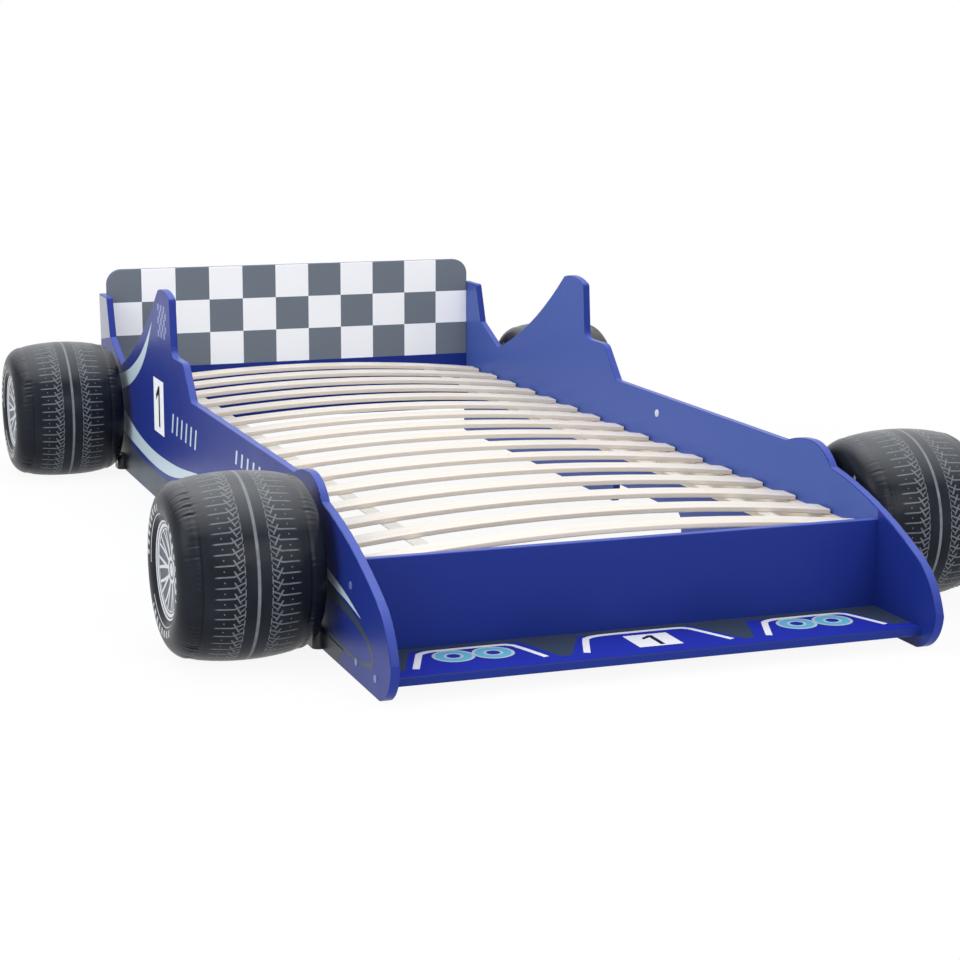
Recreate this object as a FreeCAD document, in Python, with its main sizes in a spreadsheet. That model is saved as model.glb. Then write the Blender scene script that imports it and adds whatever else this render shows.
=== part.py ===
import FreeCAD, Part
import math
import os
import PartDesign
import Sketcher

# Low child's bed in the shape of a racing car, for a mattress of 900 x 2000 mm.
# +Z is up, X runs across the bed, the nose (foot end) faces -Y and the headboard stands at +Y.
# The origin lies on the floor under the middle of the outline.

V = FreeCAD.Vector
SWELL, HOLLOW = 1, -1                # an arc that swells out of an outline, or is hollowed into it

# ---------------------------------------------------------------- driving sizes, millimetres
SIZES = {
    # mattress bay and boards
    "bay_width": 910, "bay_length": 2045, "panel_thick": 15, "board_thick": 15, "edge_round": 2,
    # side panel outline; distances are forward of the headboard face
    "panel_back": 18, "fin_back": 26, "fin_kink_height": 270, "fin_height": 381,
    "fin_front": 68, "fin_foot": 103, "fin_foot_height": 291,
    "valley_at": 222, "valley_height": 242, "sweep_radius": 1360,
    "crest_start": 649, "crest_start_height": 458, "crest_radius": 181,
    "crest_end": 763, "crest_end_height": 451,
    "step_at": 774, "step_height": 334, "step_end": 882, "slope_end": 950, "rail_height": 265,
    # side panel outline at the front; distances from the front face of the foot board
    "arch_start": 338, "arch_rise_radius": 274, "arch_top": 245, "arch_height": 282,
    "arch_fall_radius": 102.5, "notch_at": 167, "notch_height": 246,
    "brow_radius": 989, "brow_end": 125, "brow_end_height": 152,
    "nose_radius": 140, "nose_reach": 196, "nose_height": 68,
    "chin_radius": 70, "chin_at": 140,
    "recess_length": 350, "recess_height": 43, "recess_round": 25,
    "step_inner_round": 22, "step_outer_round": 30, "slope_round": 15, "fin_round": 8,
    # cross boards
    "head_bottom": 60, "head_top": 438, "head_corner": 36,
    "foot_height": 150, "tray_depth": 152, "tray_thick": 15, "tray_base": 22, "tray_round": 3,
    # slatted base
    "slat_count": 16, "slat_width": 50, "slat_thick": 9.5, "slat_round": 2.5, "slat_crown": 27,
    "slat_gap_end": 7, "slat_first": 60, "slat_last": 8, "slat_seat": 164.5,
    "ledge_width": 20, "ledge_height": 55,
    "tape_centre": 320, "tape_width": 26, "tape_thick": 1.2, "tape_gap": 0.1,
    "staple_length": 12, "staple_thick": 0.8,
    # joining hardware
    "head_screw_low": 100, "head_screw_high": 235, "head_dowel": 330,
    "foot_screw": 145, "foot_dowel": 85, "tray_screw_near": 21, "tray_screw_far": 120,
    "bolt_head_dia": 10, "bolt_head_sink": 1, "bolt_head_thick": 3, "bolt_neck_dia": 7,
    "bolt_thread_dia": 5, "bolt_bite": 35, "key_across": 4, "key_deep": 2,
    "cap_dia": 13, "cap_thick": 1.2, "dowel_dia": 8, "dowel_long": 30, "dowel_in_panel": 10,
    "wood_screw_dia": 4, "wood_screw_head": 8, "wood_screw_head_thick": 3,
    "ledge_screw_bite": 10, "ledge_screw_count": 6, "ledge_screw_edge": 90, "slat_screw_bite": 26,
    "button_dia": 16, "button_thick": 2, "button_peg_dia": 6, "button_peg_long": 8,
    "button_at": 1163, "button_height": 227,
    # inflated wheels; offsets are across the bed from the middle of the wheel
    "tyre_radius": 153, "seam_offset": 86, "seam_radius": 144, "rim_offset": 113, "rim_radius": 80,
    "hub_offset": 105, "sidewall_radius": 40, "axle_height": 146, "wheel_stand_off": 136,
    "rear_axle": 215, "front_axle": 195,
    # floor anchors between wheel and panel
    "anchor_width": 50, "anchor_thick": 15, "anchor_height": 34, "anchor_round": 12,
    "anchor_screw_height": 16, "anchor_screw_bite": 9,
    # inflation valves
    "valve_angle": 50, "valve_sink": 1, "valve_flange_dia": 22, "valve_flange_thick": 1.5,
    "valve_tube_dia": 12, "valve_bore_dia": 9, "valve_tube_long": 6, "valve_stem_long": 8,
    "valve_floor": 1.5,
    "lid_dia": 13, "lid_thick": 2, "lid_plug_dia": 6, "lid_plug_long": 2.5, "lid_lift": 0.1,
    "hinge_offset": 9, "hinge_width": 5, "hinge_post": 2,
}

doc = FreeCAD.newDocument("car_bed")
sheet = doc.addObject("Spreadsheet::Sheet", "Sheet")
for row, (name, number) in enumerate(SIZES.items(), start=1):
    sheet.set("A%d" % row, name)
    sheet.set("B%d" % row, str(number))
    sheet.setAlias("B%d" % row, name)
doc.recompute()


class Size:
    """A length that knows both its number and its formula in the sheet."""

    def __init__(self, number, text):
        self.number = float(number)
        self.text = text

    def _join(self, other, sign, number, swap=False):
        text = other.text if isinstance(other, Size) else repr(float(other))
        first, last = (text, self.text) if swap else (self.text, text)
        return Size(number, "(%s %s %s)" % (first, sign, last))

    def __add__(self, other):
        return self._join(other, "+", self.number + num(other))

    def __radd__(self, other):
        return self._join(other, "+", num(other) + self.number, True)

    def __sub__(self, other):
        return self._join(other, "-", self.number - num(other))

    def __rsub__(self, other):
        return self._join(other, "-", num(other) - self.number, True)

    def __mul__(self, other):
        return self._join(other, "*", self.number * num(other))

    def __rmul__(self, other):
        return self._join(other, "*", num(other) * self.number, True)

    def __truediv__(self, other):
        return self._join(other, "/", self.number / num(other))

    def __neg__(self):
        return self * -1


def num(value):
    return value.number if isinstance(value, Size) else float(value)


def size(name):
    return Size(sheet.get(name), "Sheet.%s" % name)


S = {name: size(name) for name in SIZES}

# planes that the pieces share
HALF = S["bay_width"] / 2                                    # inner face of a side panel
OUTER = HALF + S["panel_thick"]                              # outer face of a side panel
LENGTH = S["fin_back"] + S["bay_length"] + S["board_thick"] + S["nose_reach"]
HEAD = LENGTH / 2 - S["fin_back"]                            # face of the headboard
FOOT = HEAD - S["bay_length"] - S["board_thick"]             # front face of the foot board
HEAD_MID = HEAD + S["board_thick"] / 2
FOOT_MID = FOOT + S["board_thick"] / 2
TRAY_TOP = S["tray_base"] + S["tray_thick"]
TRAY_MID = S["tray_base"] + S["tray_thick"] / 2
SLAT_REACH = HALF - S["slat_gap_end"]                        # end of a slat
LEDGE_MID = S["slat_seat"] - S["ledge_height"] / 2
WHEEL_X = OUTER + S["wheel_stand_off"]                       # middle of a wheel
WHEELS = {
    "front_left": (-1, FOOT + S["front_axle"]),
    "front_right": (1, FOOT + S["front_axle"]),
    "rear_left": (-1, HEAD - S["rear_axle"]),
    "rear_right": (1, HEAD - S["rear_axle"]),
}
kept = []


# ---------------------------------------------------------------- helpers
def bind(item, prop, value):
    """Set a property from a size, with its formula where it has one."""
    if isinstance(value, Size):
        item.setExpression(prop, value.text)
    else:
        setattr(item, prop, value)


def place(item, x=0, y=0, z=0, rotation=None):
    item.Placement = FreeCAD.Placement(V(num(x), num(y), num(z)), rotation or FreeCAD.Rotation())
    for axis, value in (("x", x), ("y", y), ("z", z)):
        if isinstance(value, Size):
            item.setExpression("Placement.Base.%s" % axis, value.text)


def new_body(name):
    body = doc.addObject("PartDesign::Body", name)
    body.Label = name
    kept.append(body)
    return body


def new_sketch(body, role, offset=None):
    sketch = body.newObject("Sketcher::SketchObject", body.Name + "_sketch")
    plane = [item for item in body.Origin.OriginFeatures if item.Role == role][0]
    sketch.AttachmentSupport = [(plane, "")]
    sketch.MapMode = "FlatFace"
    if offset is not None:
        sketch.AttachmentOffset = FreeCAD.Placement(V(0, 0, num(offset)), FreeCAD.Rotation())
        if isinstance(offset, Size):
            sketch.setExpression("AttachmentOffset.Base.z", offset.text)
    return sketch


def pin_point(sketch, geo, pos, x, y):
    """Fix a sketch point at x, y from the sketch origin."""
    for kind, value, axis in (("DistanceX", x, -2), ("DistanceY", y, -1)):
        if abs(num(value)) < 1e-9:
            sketch.addConstraint(Sketcher.Constraint("PointOnObject", geo, pos, axis))
            continue
        index = sketch.addConstraint(Sketcher.Constraint(kind, -1, 1, geo, pos, num(value)))
        if isinstance(value, Size):
            sketch.setExpression("Constraints[%d]" % index, value.text)


def arc_between(start, end, radius, bulge):
    """Arc from start to end; SWELL curves to the right of the way, HOLLOW to the left."""
    chord = end - start
    middle = (start + end) / 2
    side = V(chord.y, -chord.x, 0)
    side.normalize()
    reach = math.sqrt(radius ** 2 - (chord.Length / 2) ** 2)
    centre = middle - side * bulge * reach
    first, last = (start, end) if bulge > 0 else (end, start)
    turn0 = math.atan2(first.y - centre.y, first.x - centre.x)
    turn1 = math.atan2(last.y - centre.y, last.x - centre.x)
    if turn1 < turn0:
        turn1 += 2 * math.pi
    return Part.ArcOfCircle(Part.Circle(centre, V(0, 0, 1), radius), turn0, turn1), bulge > 0


def outline(sketch, points, arcs=None):
    """Closed outline through points; arcs gives (radius, bulge) for the side after a point."""
    arcs = arcs or {}
    ends = []
    count = len(points)
    spots = [V(num(x), num(y), 0) for x, y in points]
    for i in range(count):
        start, end = spots[i], spots[(i + 1) % count]
        if i in arcs:
            radius, bulge = arcs[i]
            shape, forward = arc_between(start, end, num(radius), bulge)
            geo = sketch.addGeometry(shape, False)
            ends.append((geo, 1, 2) if forward else (geo, 2, 1))
        else:
            geo = sketch.addGeometry(Part.LineSegment(start, end), False)
            ends.append((geo, 1, 2))
    for i in range(count):
        geo, first, last = ends[i]
        before = ends[i - 1]
        sketch.addConstraint(Sketcher.Constraint("Coincident", before[0], before[2], geo, first))
        pin_point(sketch, geo, first, *points[i])
    for i, (radius, bulge) in arcs.items():
        index = sketch.addConstraint(Sketcher.Constraint("Radius", ends[i][0], num(radius)))
        if isinstance(radius, Size):
            sketch.setExpression("Constraints[%d]" % index, radius.text)
    return sketch


def rectangle(sketch, x0, y0, x1, y1):
    return outline(sketch, [(x0, y0), (x1, y0), (x1, y1), (x0, y1)])


def circles(sketch, spots, diameter):
    for x, y in spots:
        centre = V(num(x), num(y), 0)
        geo = sketch.addGeometry(Part.Circle(centre, V(0, 0, 1), num(diameter) / 2), False)
        pin_point(sketch, geo, 3, x, y)
        index = sketch.addConstraint(Sketcher.Constraint("Diameter", geo, num(diameter)))
        sketch.setExpression("Constraints[%d]" % index, diameter.text)
    return sketch


def pad(body, sketch, length, back=False):
    feature = body.newObject("PartDesign::Pad", body.Name + "_pad")
    feature.Profile = sketch
    bind(feature, "Length", length)
    feature.Reversed = back
    doc.recompute()
    return feature


def pocket(body, sketch, depth, back=False):
    """Cut a sketch into the body and make sure that it removes material."""
    before = body.Shape.Volume
    feature = body.newObject("PartDesign::Pocket", body.Name + "_pocket")
    feature.Profile = sketch
    bind(feature, "Length", depth)
    feature.Reversed = back
    doc.recompute()
    if not body.Shape.Volume < before - 1e-3:
        raise RuntimeError("a pocket of %s cut nothing" % body.Label)
    return feature


def revolve(body, sketch, axis):
    feature = body.newObject("PartDesign::Revolution", body.Name + "_turn")
    feature.Profile = sketch
    feature.ReferenceAxis = (sketch, [axis])
    feature.Angle = 360
    doc.recompute()
    return feature


def round_edges(body, radius, chosen):
    """Fillet the edges of the body's last feature for which chosen(edge) holds."""
    base = body.Tip
    names = ["Edge%d" % (i + 1) for i, edge in enumerate(base.Shape.Edges) if chosen(edge)]
    if not names:
        raise RuntimeError("no edge to round on %s" % body.Label)
    feature = body.newObject("PartDesign::Fillet", body.Name + "_round")
    feature.Base = (base, names)
    bind(feature, "Radius", radius)
    doc.recompute()
    return feature


def along(edge, direction):
    """True for a straight edge that runs along a direction."""
    if not isinstance(edge.Curve, Part.Line):
        return False
    return abs(abs(edge.Curve.Direction.dot(direction)) - 1) < 1e-6


def crosses(edge, y, z):
    """True for an edge across the panel that stands at y, z of the outline."""
    middle = edge.CenterOfMass
    return along(edge, V(1, 0, 0)) and abs(middle.y - num(y)) < 0.05 and abs(middle.z - num(z)) < 0.05


def on_face(edge, faces):
    """True for an edge that lies wholly in one of the planes x = face."""
    return any(all(abs(corner.Point.x - face) < 1e-6 for corner in edge.Vertexes) for face in faces)


def group(name, shapes):
    """Several like pieces as one item."""
    item = doc.addObject("Part::Feature", name)
    item.Label = name
    item.Shape = Part.Compound(shapes)
    item.Placement = FreeCAD.Placement()
    kept.append(item)
    return item


def copies(master, placements):
    """Copies of one master piece at the given placements."""
    shapes = []
    for placement in placements:
        shape = master.Shape.copy()
        shape.Placement = placement.multiply(shape.Placement)
        shapes.append(shape)
    return shapes


def master_body(name):
    """A pattern piece that is only copied from, and has no file of its own."""
    body = doc.addObject("PartDesign::Body", name)
    body.Label = name
    return body


def turned(master, points, arcs=None):
    """Turned piece along the local X axis; points are distance along it and radius."""
    sketch = new_sketch(master, "XY_Plane")
    outline(sketch, points, arcs)
    revolve(master, sketch, "H_Axis")
    return master


def heading(x, y, z, direction):
    """Placement at x, y, z that turns local +X to a direction."""
    return FreeCAD.Placement(V(num(x), num(y), num(z)), FreeCAD.Rotation(V(1, 0, 0), direction))


# ---------------------------------------------------------------- side panels
# corners in order from the rear foot up, forward along the top and back along the floor
CORNERS = {
    "rear foot": (HEAD + S["panel_back"], 0),
    "rear kink": (HEAD + S["panel_back"], S["fin_kink_height"]),
    "fin back": (HEAD + S["fin_back"], S["fin_height"]),
    "fin front": (HEAD - S["fin_front"], S["fin_height"]),
    "fin foot": (HEAD - S["fin_foot"], S["fin_foot_height"]),
    "valley": (HEAD - S["valley_at"], S["valley_height"]),
    "crest start": (HEAD - S["crest_start"], S["crest_start_height"]),
    "crest end": (HEAD - S["crest_end"], S["crest_end_height"]),
    "step": (HEAD - S["step_at"], S["step_height"]),
    "step end": (HEAD - S["step_end"], S["step_height"]),
    "slope foot": (HEAD - S["slope_end"], S["rail_height"]),
    "rail end": (FOOT + S["arch_start"], S["rail_height"]),
    "arch top": (FOOT + S["arch_top"], S["arch_height"]),
    "notch": (FOOT + S["notch_at"], S["notch_height"]),
    "brow end": (FOOT - S["brow_end"], S["brow_end_height"]),
    "nose tip": (FOOT - S["nose_reach"], S["nose_height"]),
    "chin": (FOOT - S["chin_at"], 0),
    "recess front": (-S["recess_length"] / 2, 0),
    "recess front top": (-S["recess_length"] / 2, S["recess_height"]),
    "recess rear top": (S["recess_length"] / 2, S["recess_height"]),
    "recess rear": (S["recess_length"] / 2, 0),
}
PANEL_OUTLINE = list(CORNERS.values())
PANEL_ARCS = {list(CORNERS).index(corner): (S[radius], bulge) for corner, radius, bulge in (
    ("valley", "sweep_radius", HOLLOW),
    ("crest start", "crest_radius", SWELL),
    ("rail end", "arch_rise_radius", SWELL),
    ("arch top", "arch_fall_radius", SWELL),
    ("notch", "brow_radius", SWELL),
    ("brow end", "nose_radius", SWELL),
    ("nose tip", "chin_radius", SWELL),
)}
PANEL_ROUNDS = [
    ("fin_round", ("fin back", "fin front", "valley", "crest start", "crest end")),
    ("step_inner_round", ("step",)),
    ("step_outer_round", ("step end",)),
    ("slope_round", ("slope foot",)),
    ("recess_round", ("recess front top", "recess rear top")),
]
# screw and dowel places on a side panel, as distance along the bed and height
BOLT_SPOTS = [
    (HEAD_MID, S["head_screw_low"]),
    (HEAD_MID, S["head_screw_high"]),
    (FOOT_MID, S["foot_screw"]),
    (FOOT - S["tray_screw_near"], TRAY_MID),
    (FOOT - S["tray_screw_far"], TRAY_MID),
]
DOWEL_SPOTS = [(HEAD_MID, S["head_dowel"]), (FOOT_MID, S["foot_dowel"])]
LEDGE_STEP = (S["bay_length"] - S["ledge_screw_edge"] * 2) / (S["ledge_screw_count"] - 1)
LEDGE_SPOTS = [(HEAD - S["ledge_screw_edge"] - LEDGE_STEP * i, LEDGE_MID)
               for i in range(int(SIZES["ledge_screw_count"]))]
BUTTON_SPOT = (HEAD - S["button_at"], S["button_height"])
ANCHOR_SPOTS = [(centre + S["anchor_width"] * side / 4, S["anchor_screw_height"])
                for centre in (WHEELS["front_left"][1], WHEELS["rear_left"][1])
                for side in (-1, 1)]


def side_panel(name, side):
    """Flat side board; side is -1 for the left panel and +1 for the right one."""
    body = new_body(name)
    place(body, x=HALF * side)
    pad(body, outline(new_sketch(body, "YZ_Plane"), PANEL_OUTLINE, PANEL_ARCS),
        S["panel_thick"], side < 0)
    for radius, corners in PANEL_ROUNDS:
        spots = [CORNERS[corner] for corner in corners]
        round_edges(body, S[radius], lambda edge: any(crosses(edge, y, z) for y, z in spots))
    faces = (0, num(S["panel_thick"]) * side)
    round_edges(body, S["edge_round"], lambda edge: on_face(edge, faces)
                and edge.CenterOfMass.z > num(S["recess_height"]) + 1)
    inner = new_sketch(body, "YZ_Plane")
    pocket(body, circles(inner, BOLT_SPOTS, S["bolt_neck_dia"]), S["panel_thick"], side > 0)
    outer = new_sketch(body, "YZ_Plane", S["panel_thick"] * side)
    circles(outer, BOLT_SPOTS, S["bolt_head_dia"])
    pocket(body, outer, S["bolt_head_sink"] + S["bolt_head_thick"], side < 0)
    inner = new_sketch(body, "YZ_Plane")
    pocket(body, circles(inner, DOWEL_SPOTS, S["dowel_dia"]), S["dowel_in_panel"], side > 0)
    inner = new_sketch(body, "YZ_Plane")
    pocket(body, circles(inner, LEDGE_SPOTS, S["wood_screw_dia"]), S["ledge_screw_bite"], side > 0)
    inner = new_sketch(body, "YZ_Plane")
    pocket(body, circles(inner, [BUTTON_SPOT], S["button_peg_dia"]), S["button_peg_long"], side > 0)
    outer = new_sketch(body, "YZ_Plane", S["panel_thick"] * side)
    circles(outer, ANCHOR_SPOTS, S["wood_screw_dia"])
    pocket(body, outer, S["anchor_screw_bite"], side < 0)
    return body


side_panel("left_side_panel", -1)
side_panel("right_side_panel", 1)


# ---------------------------------------------------------------- cross boards
def end_holes(body, spots, diameter, depth):
    """Blind holes in both ends of a cross board; spots are y and z in the body's own frame."""
    for side in (-1, 1):
        sketch = new_sketch(body, "YZ_Plane", HALF * side)
        pocket(body, circles(sketch, spots, diameter), depth, side < 0)


headboard = new_body("headboard")
place(headboard, y=HEAD)
pad(headboard, rectangle(new_sketch(headboard, "XZ_Plane"), -HALF, S["head_bottom"], HALF,
                         S["head_top"]), S["board_thick"], True)
round_edges(headboard, S["head_corner"],
            lambda edge: along(edge, V(0, 1, 0)) and edge.CenterOfMass.z > num(S["head_bottom"]) + 1)
round_edges(headboard, S["edge_round"],
            lambda edge: edge.CenterOfMass.z > num(S["head_top"]) - num(S["head_corner"]) - 1
            and not along(edge, V(0, 1, 0)) and not along(edge, V(0, 0, 1)))
MID_BOARD = S["board_thick"] / 2
end_holes(headboard, [(MID_BOARD, S["head_screw_low"]), (MID_BOARD, S["head_screw_high"])],
          S["bolt_thread_dia"], S["bolt_bite"])
end_holes(headboard, [(MID_BOARD, S["head_dowel"])], S["dowel_dia"],
          S["dowel_long"] - S["dowel_in_panel"])

foot_board = new_body("foot_board")
place(foot_board, y=FOOT)
pad(foot_board, rectangle(new_sketch(foot_board, "XZ_Plane"), -HALF, TRAY_TOP, HALF,
                          TRAY_TOP + S["foot_height"]), S["board_thick"], True)
round_edges(foot_board, S["edge_round"], lambda edge: along(edge, V(1, 0, 0))
            and edge.CenterOfMass.z > num(TRAY_TOP) + 1)
end_holes(foot_board, [(MID_BOARD, S["foot_screw"])], S["bolt_thread_dia"], S["bolt_bite"])
end_holes(foot_board, [(MID_BOARD, S["foot_dowel"])], S["dowel_dia"],
          S["dowel_long"] - S["dowel_in_panel"])

# the wing shelf lies under the foot board and runs forward between the nose ends
nose_tray = new_body("nose_tray")
place(nose_tray, y=FOOT, z=S["tray_base"])
pad(nose_tray, rectangle(new_sketch(nose_tray, "XY_Plane"), -HALF, -S["tray_depth"], HALF,
                         S["board_thick"]), S["tray_thick"])
round_edges(nose_tray, S["tray_round"], lambda edge: along(edge, V(1, 0, 0))
            and edge.CenterOfMass.y < -num(S["tray_depth"]) + 1)
end_holes(nose_tray, [(-S["tray_screw_near"], S["tray_thick"] / 2),
                      (-S["tray_screw_far"], S["tray_thick"] / 2)],
          S["bolt_thread_dia"], S["bolt_bite"])

# ---------------------------------------------------------------- slatted base
CROWN_RADIUS = (SLAT_REACH * SLAT_REACH + S["slat_crown"] * S["slat_crown"]) / (S["slat_crown"] * 2)
SLAT_COUNT = int(SIZES["slat_count"])
SLAT_PITCH = (S["bay_length"] - S["slat_first"] - S["slat_last"] - S["slat_width"]) / (
    S["slat_count"] - 1)
SLAT_BACKS = [HEAD - S["slat_first"] - SLAT_PITCH * i for i in range(SLAT_COUNT)]


def slat_rise(x, lift=0):
    """Height above the slat seat of the curve that lies a lift above the underside."""
    radius = num(CROWN_RADIUS)
    return math.sqrt((radius + lift) ** 2 - x ** 2) - radius + num(S["slat_crown"])


SCREW_INSET = S["ledge_width"] - S["slat_gap_end"] * 1.5     # slat screws stand over the ledges
SCREW_X = HALF - SCREW_INSET
# the flat that the head of a slat screw is let into, above the slat seat
SLAT_SCREW_SEAT = (slat_rise(num(SCREW_X), num(S["slat_thick"]))
                   - num(S["wood_screw_head_thick"]))
WIDE, THICK, ROUND = S["slat_width"], S["slat_thick"], S["slat_round"]
SLAT_SECTION = [(ROUND - WIDE, 0), (-ROUND, 0), (0, ROUND), (0, THICK - ROUND),
                (-ROUND, THICK), (ROUND - WIDE, THICK), (-WIDE, THICK - ROUND), (-WIDE, ROUND)]

for index in range(SLAT_COUNT):
    slat = new_body("slat_%02d" % (index + 1))
    place(slat, y=SLAT_BACKS[index], z=S["slat_seat"])
    # the rounded section at the middle of the slat swings about the centre of its crown
    section = new_sketch(slat, "YZ_Plane")
    outline(section, [(y, S["slat_crown"] + z) for y, z in SLAT_SECTION],
            {corner: (S["slat_round"], SWELL) for corner in range(1, len(SLAT_SECTION), 2)})
    centre = S["slat_crown"] - CROWN_RADIUS
    level = V(0, centre.number, 0)
    line = section.addGeometry(Part.LineSegment(level - V(num(S["slat_width"]), 0, 0), level), True)
    pin_point(section, line, 1, -S["slat_width"], centre)
    pin_point(section, line, 2, 0, centre)
    swing = slat.newObject("PartDesign::Revolution", slat.Name + "_swing")
    swing.Profile = section
    swing.ReferenceAxis = (section, ["Axis0"])
    swing.Midplane = True
    swing.setExpression("Angle", "2 * asin(%s / %s)" % (SLAT_REACH.text, CROWN_RADIUS.text))
    doc.recompute()
    if index in (0, SLAT_COUNT - 1):
        sketch = new_sketch(slat, "XY_Plane")
        spots = [(SCREW_X * side, -S["slat_width"] / 2) for side in (-1, 1)]
        pocket(slat, circles(sketch, spots, S["wood_screw_dia"]), S["slat_thick"] * 2, True)
        sketch = new_sketch(slat, "XY_Plane", SLAT_SCREW_SEAT)
        pocket(slat, circles(sketch, spots, S["wood_screw_head"]), S["slat_thick"], True)

for name, side in (("left_ledge", -1), ("right_ledge", 1)):
    ledge = new_body(name)
    place(ledge, x=HALF * side, y=HEAD, z=S["slat_seat"] - S["ledge_height"])
    pad(ledge, rectangle(new_sketch(ledge, "XZ_Plane"), 0, 0, -S["ledge_width"] * side,
                         S["ledge_height"]), S["bay_length"])
    sketch = new_sketch(ledge, "YZ_Plane")
    spots = [(y - HEAD, S["ledge_height"] / 2) for y, z in LEDGE_SPOTS]
    pocket(ledge, circles(sketch, spots, S["wood_screw_dia"]), S["ledge_width"], side < 0)
    sketch = new_sketch(ledge, "YZ_Plane", -S["ledge_width"] * side)
    pocket(ledge, circles(sketch, spots, S["wood_screw_head"]), S["wood_screw_head_thick"], side > 0)
    sketch = new_sketch(ledge, "XY_Plane", S["ledge_height"])
    spots = [(-SCREW_INSET * side, back - HEAD - S["slat_width"] / 2)
             for back in (SLAT_BACKS[0], SLAT_BACKS[-1])]
    pocket(ledge, circles(sketch, spots, S["wood_screw_dia"]), S["slat_screw_bite"])

# two webbing tapes hold the slats at their spacing, stapled from below
TAPE_LONG = SLAT_PITCH * (S["slat_count"] - 1) + S["slat_width"]
tape_tilt = math.asin(num(S["tape_centre"]) / num(CROWN_RADIUS))
tape_height = num(S["slat_seat"]) + slat_rise(num(S["tape_centre"])) - num(S["tape_gap"])
for name, side in (("left_slat_tape", -1), ("right_slat_tape", 1)):
    tape = new_body(name)
    place(tape, x=S["tape_centre"] * side, y=SLAT_BACKS[0], z=tape_height,
          rotation=FreeCAD.Rotation(V(0, 1, 0), math.degrees(tape_tilt) * side))
    pad(tape, rectangle(new_sketch(tape, "XZ_Plane"), -S["tape_width"] / 2, -S["tape_thick"],
                        S["tape_width"] / 2, 0), TAPE_LONG)
doc.recompute()

# ---------------------------------------------------------------- joining hardware
# screw through a side panel into the end of a board: head, smooth neck and thread
bolt = turned(master_body("board_screw_pattern"), [
    (S["bolt_head_sink"] + S["key_deep"], 0),
    (S["panel_thick"] + S["bolt_bite"], 0),
    (S["panel_thick"] + S["bolt_bite"], S["bolt_thread_dia"] / 2),
    (S["panel_thick"], S["bolt_thread_dia"] / 2),
    (S["panel_thick"], S["bolt_neck_dia"] / 2),
    (S["bolt_head_sink"] + S["bolt_head_thick"], S["bolt_neck_dia"] / 2),
    (S["bolt_head_sink"] + S["bolt_head_thick"], S["bolt_head_dia"] / 2),
    (S["bolt_head_sink"], S["bolt_head_dia"] / 2),
    (S["bolt_head_sink"], S["key_across"] / 2),
    (S["bolt_head_sink"] + S["key_deep"], S["key_across"] / 2),
])
cap = turned(master_body("cap_pattern"), [
    (-S["cap_thick"], 0),
    (S["bolt_head_sink"], 0),
    (S["bolt_head_sink"], S["bolt_head_dia"] / 2),
    (0, S["bolt_head_dia"] / 2),
    (0, S["cap_dia"] / 2),
    (-S["cap_thick"], S["cap_dia"] / 2 - S["cap_thick"] / 2),
])
dowel = turned(master_body("dowel_pattern"), [
    (-S["dowel_in_panel"], 0),
    (S["dowel_long"] - S["dowel_in_panel"], 0),
    (S["dowel_long"] - S["dowel_in_panel"], S["dowel_dia"] / 2),
    (-S["dowel_in_panel"], S["dowel_dia"] / 2),
])


def wood_screw(name, head_sunk, bite):
    """Screw whose head lies flush at the start; head_sunk is the wood under the head."""
    return turned(master_body(name), [
        (0, 0),
        (head_sunk + bite, 0),
        (head_sunk + bite, S["wood_screw_dia"] / 2),
        (S["wood_screw_head_thick"], S["wood_screw_dia"] / 2),
        (S["wood_screw_head_thick"], S["wood_screw_head"] / 2),
        (0, S["wood_screw_head"] / 2),
    ])


ledge_screw = wood_screw("ledge_screw_pattern", S["ledge_width"], S["ledge_screw_bite"])
anchor_screw = wood_screw("anchor_screw_pattern", S["anchor_thick"], S["anchor_screw_bite"])
slat_screw = wood_screw("slat_screw_pattern", S["slat_thick"], S["slat_screw_bite"])
button = turned(master_body("button_pattern"), [
    (-S["button_peg_long"], 0),
    (S["button_thick"], 0),
    (S["button_thick"], S["button_dia"] / 2 - S["button_thick"] / 2),
    (0, S["button_dia"] / 2),
    (0, S["button_peg_dia"] / 2),
    (-S["button_peg_long"], S["button_peg_dia"] / 2),
])
doc.recompute()

SIDES = (-1, 1)
group("board_screws", copies(bolt, [heading(OUTER * side, y, z, V(-side, 0, 0))
                                    for side in SIDES for y, z in BOLT_SPOTS]))
group("screw_caps", copies(cap, [heading(OUTER * side, y, z, V(-side, 0, 0))
                                 for side in SIDES for y, z in BOLT_SPOTS]))
group("dowels", copies(dowel, [heading(HALF * side, y, z, V(-side, 0, 0))
                               for side in SIDES for y, z in DOWEL_SPOTS]))
group("ledge_screws", copies(ledge_screw, [
    heading((HALF - S["ledge_width"]) * side, y, z, V(side, 0, 0))
    for side in SIDES for y, z in LEDGE_SPOTS]))
slat_screw_top = num(S["slat_seat"] + S["wood_screw_head_thick"]) + SLAT_SCREW_SEAT
group("slat_screws", copies(slat_screw, [
    heading(SCREW_X * side, back - S["slat_width"] / 2, slat_screw_top, V(0, 0, -1))
    for side in SIDES for back in (SLAT_BACKS[0], SLAT_BACKS[-1])]))
group("panel_buttons", copies(button, [heading(HALF * side, *BUTTON_SPOT, V(-side, 0, 0))
                                       for side in SIDES]))

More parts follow.
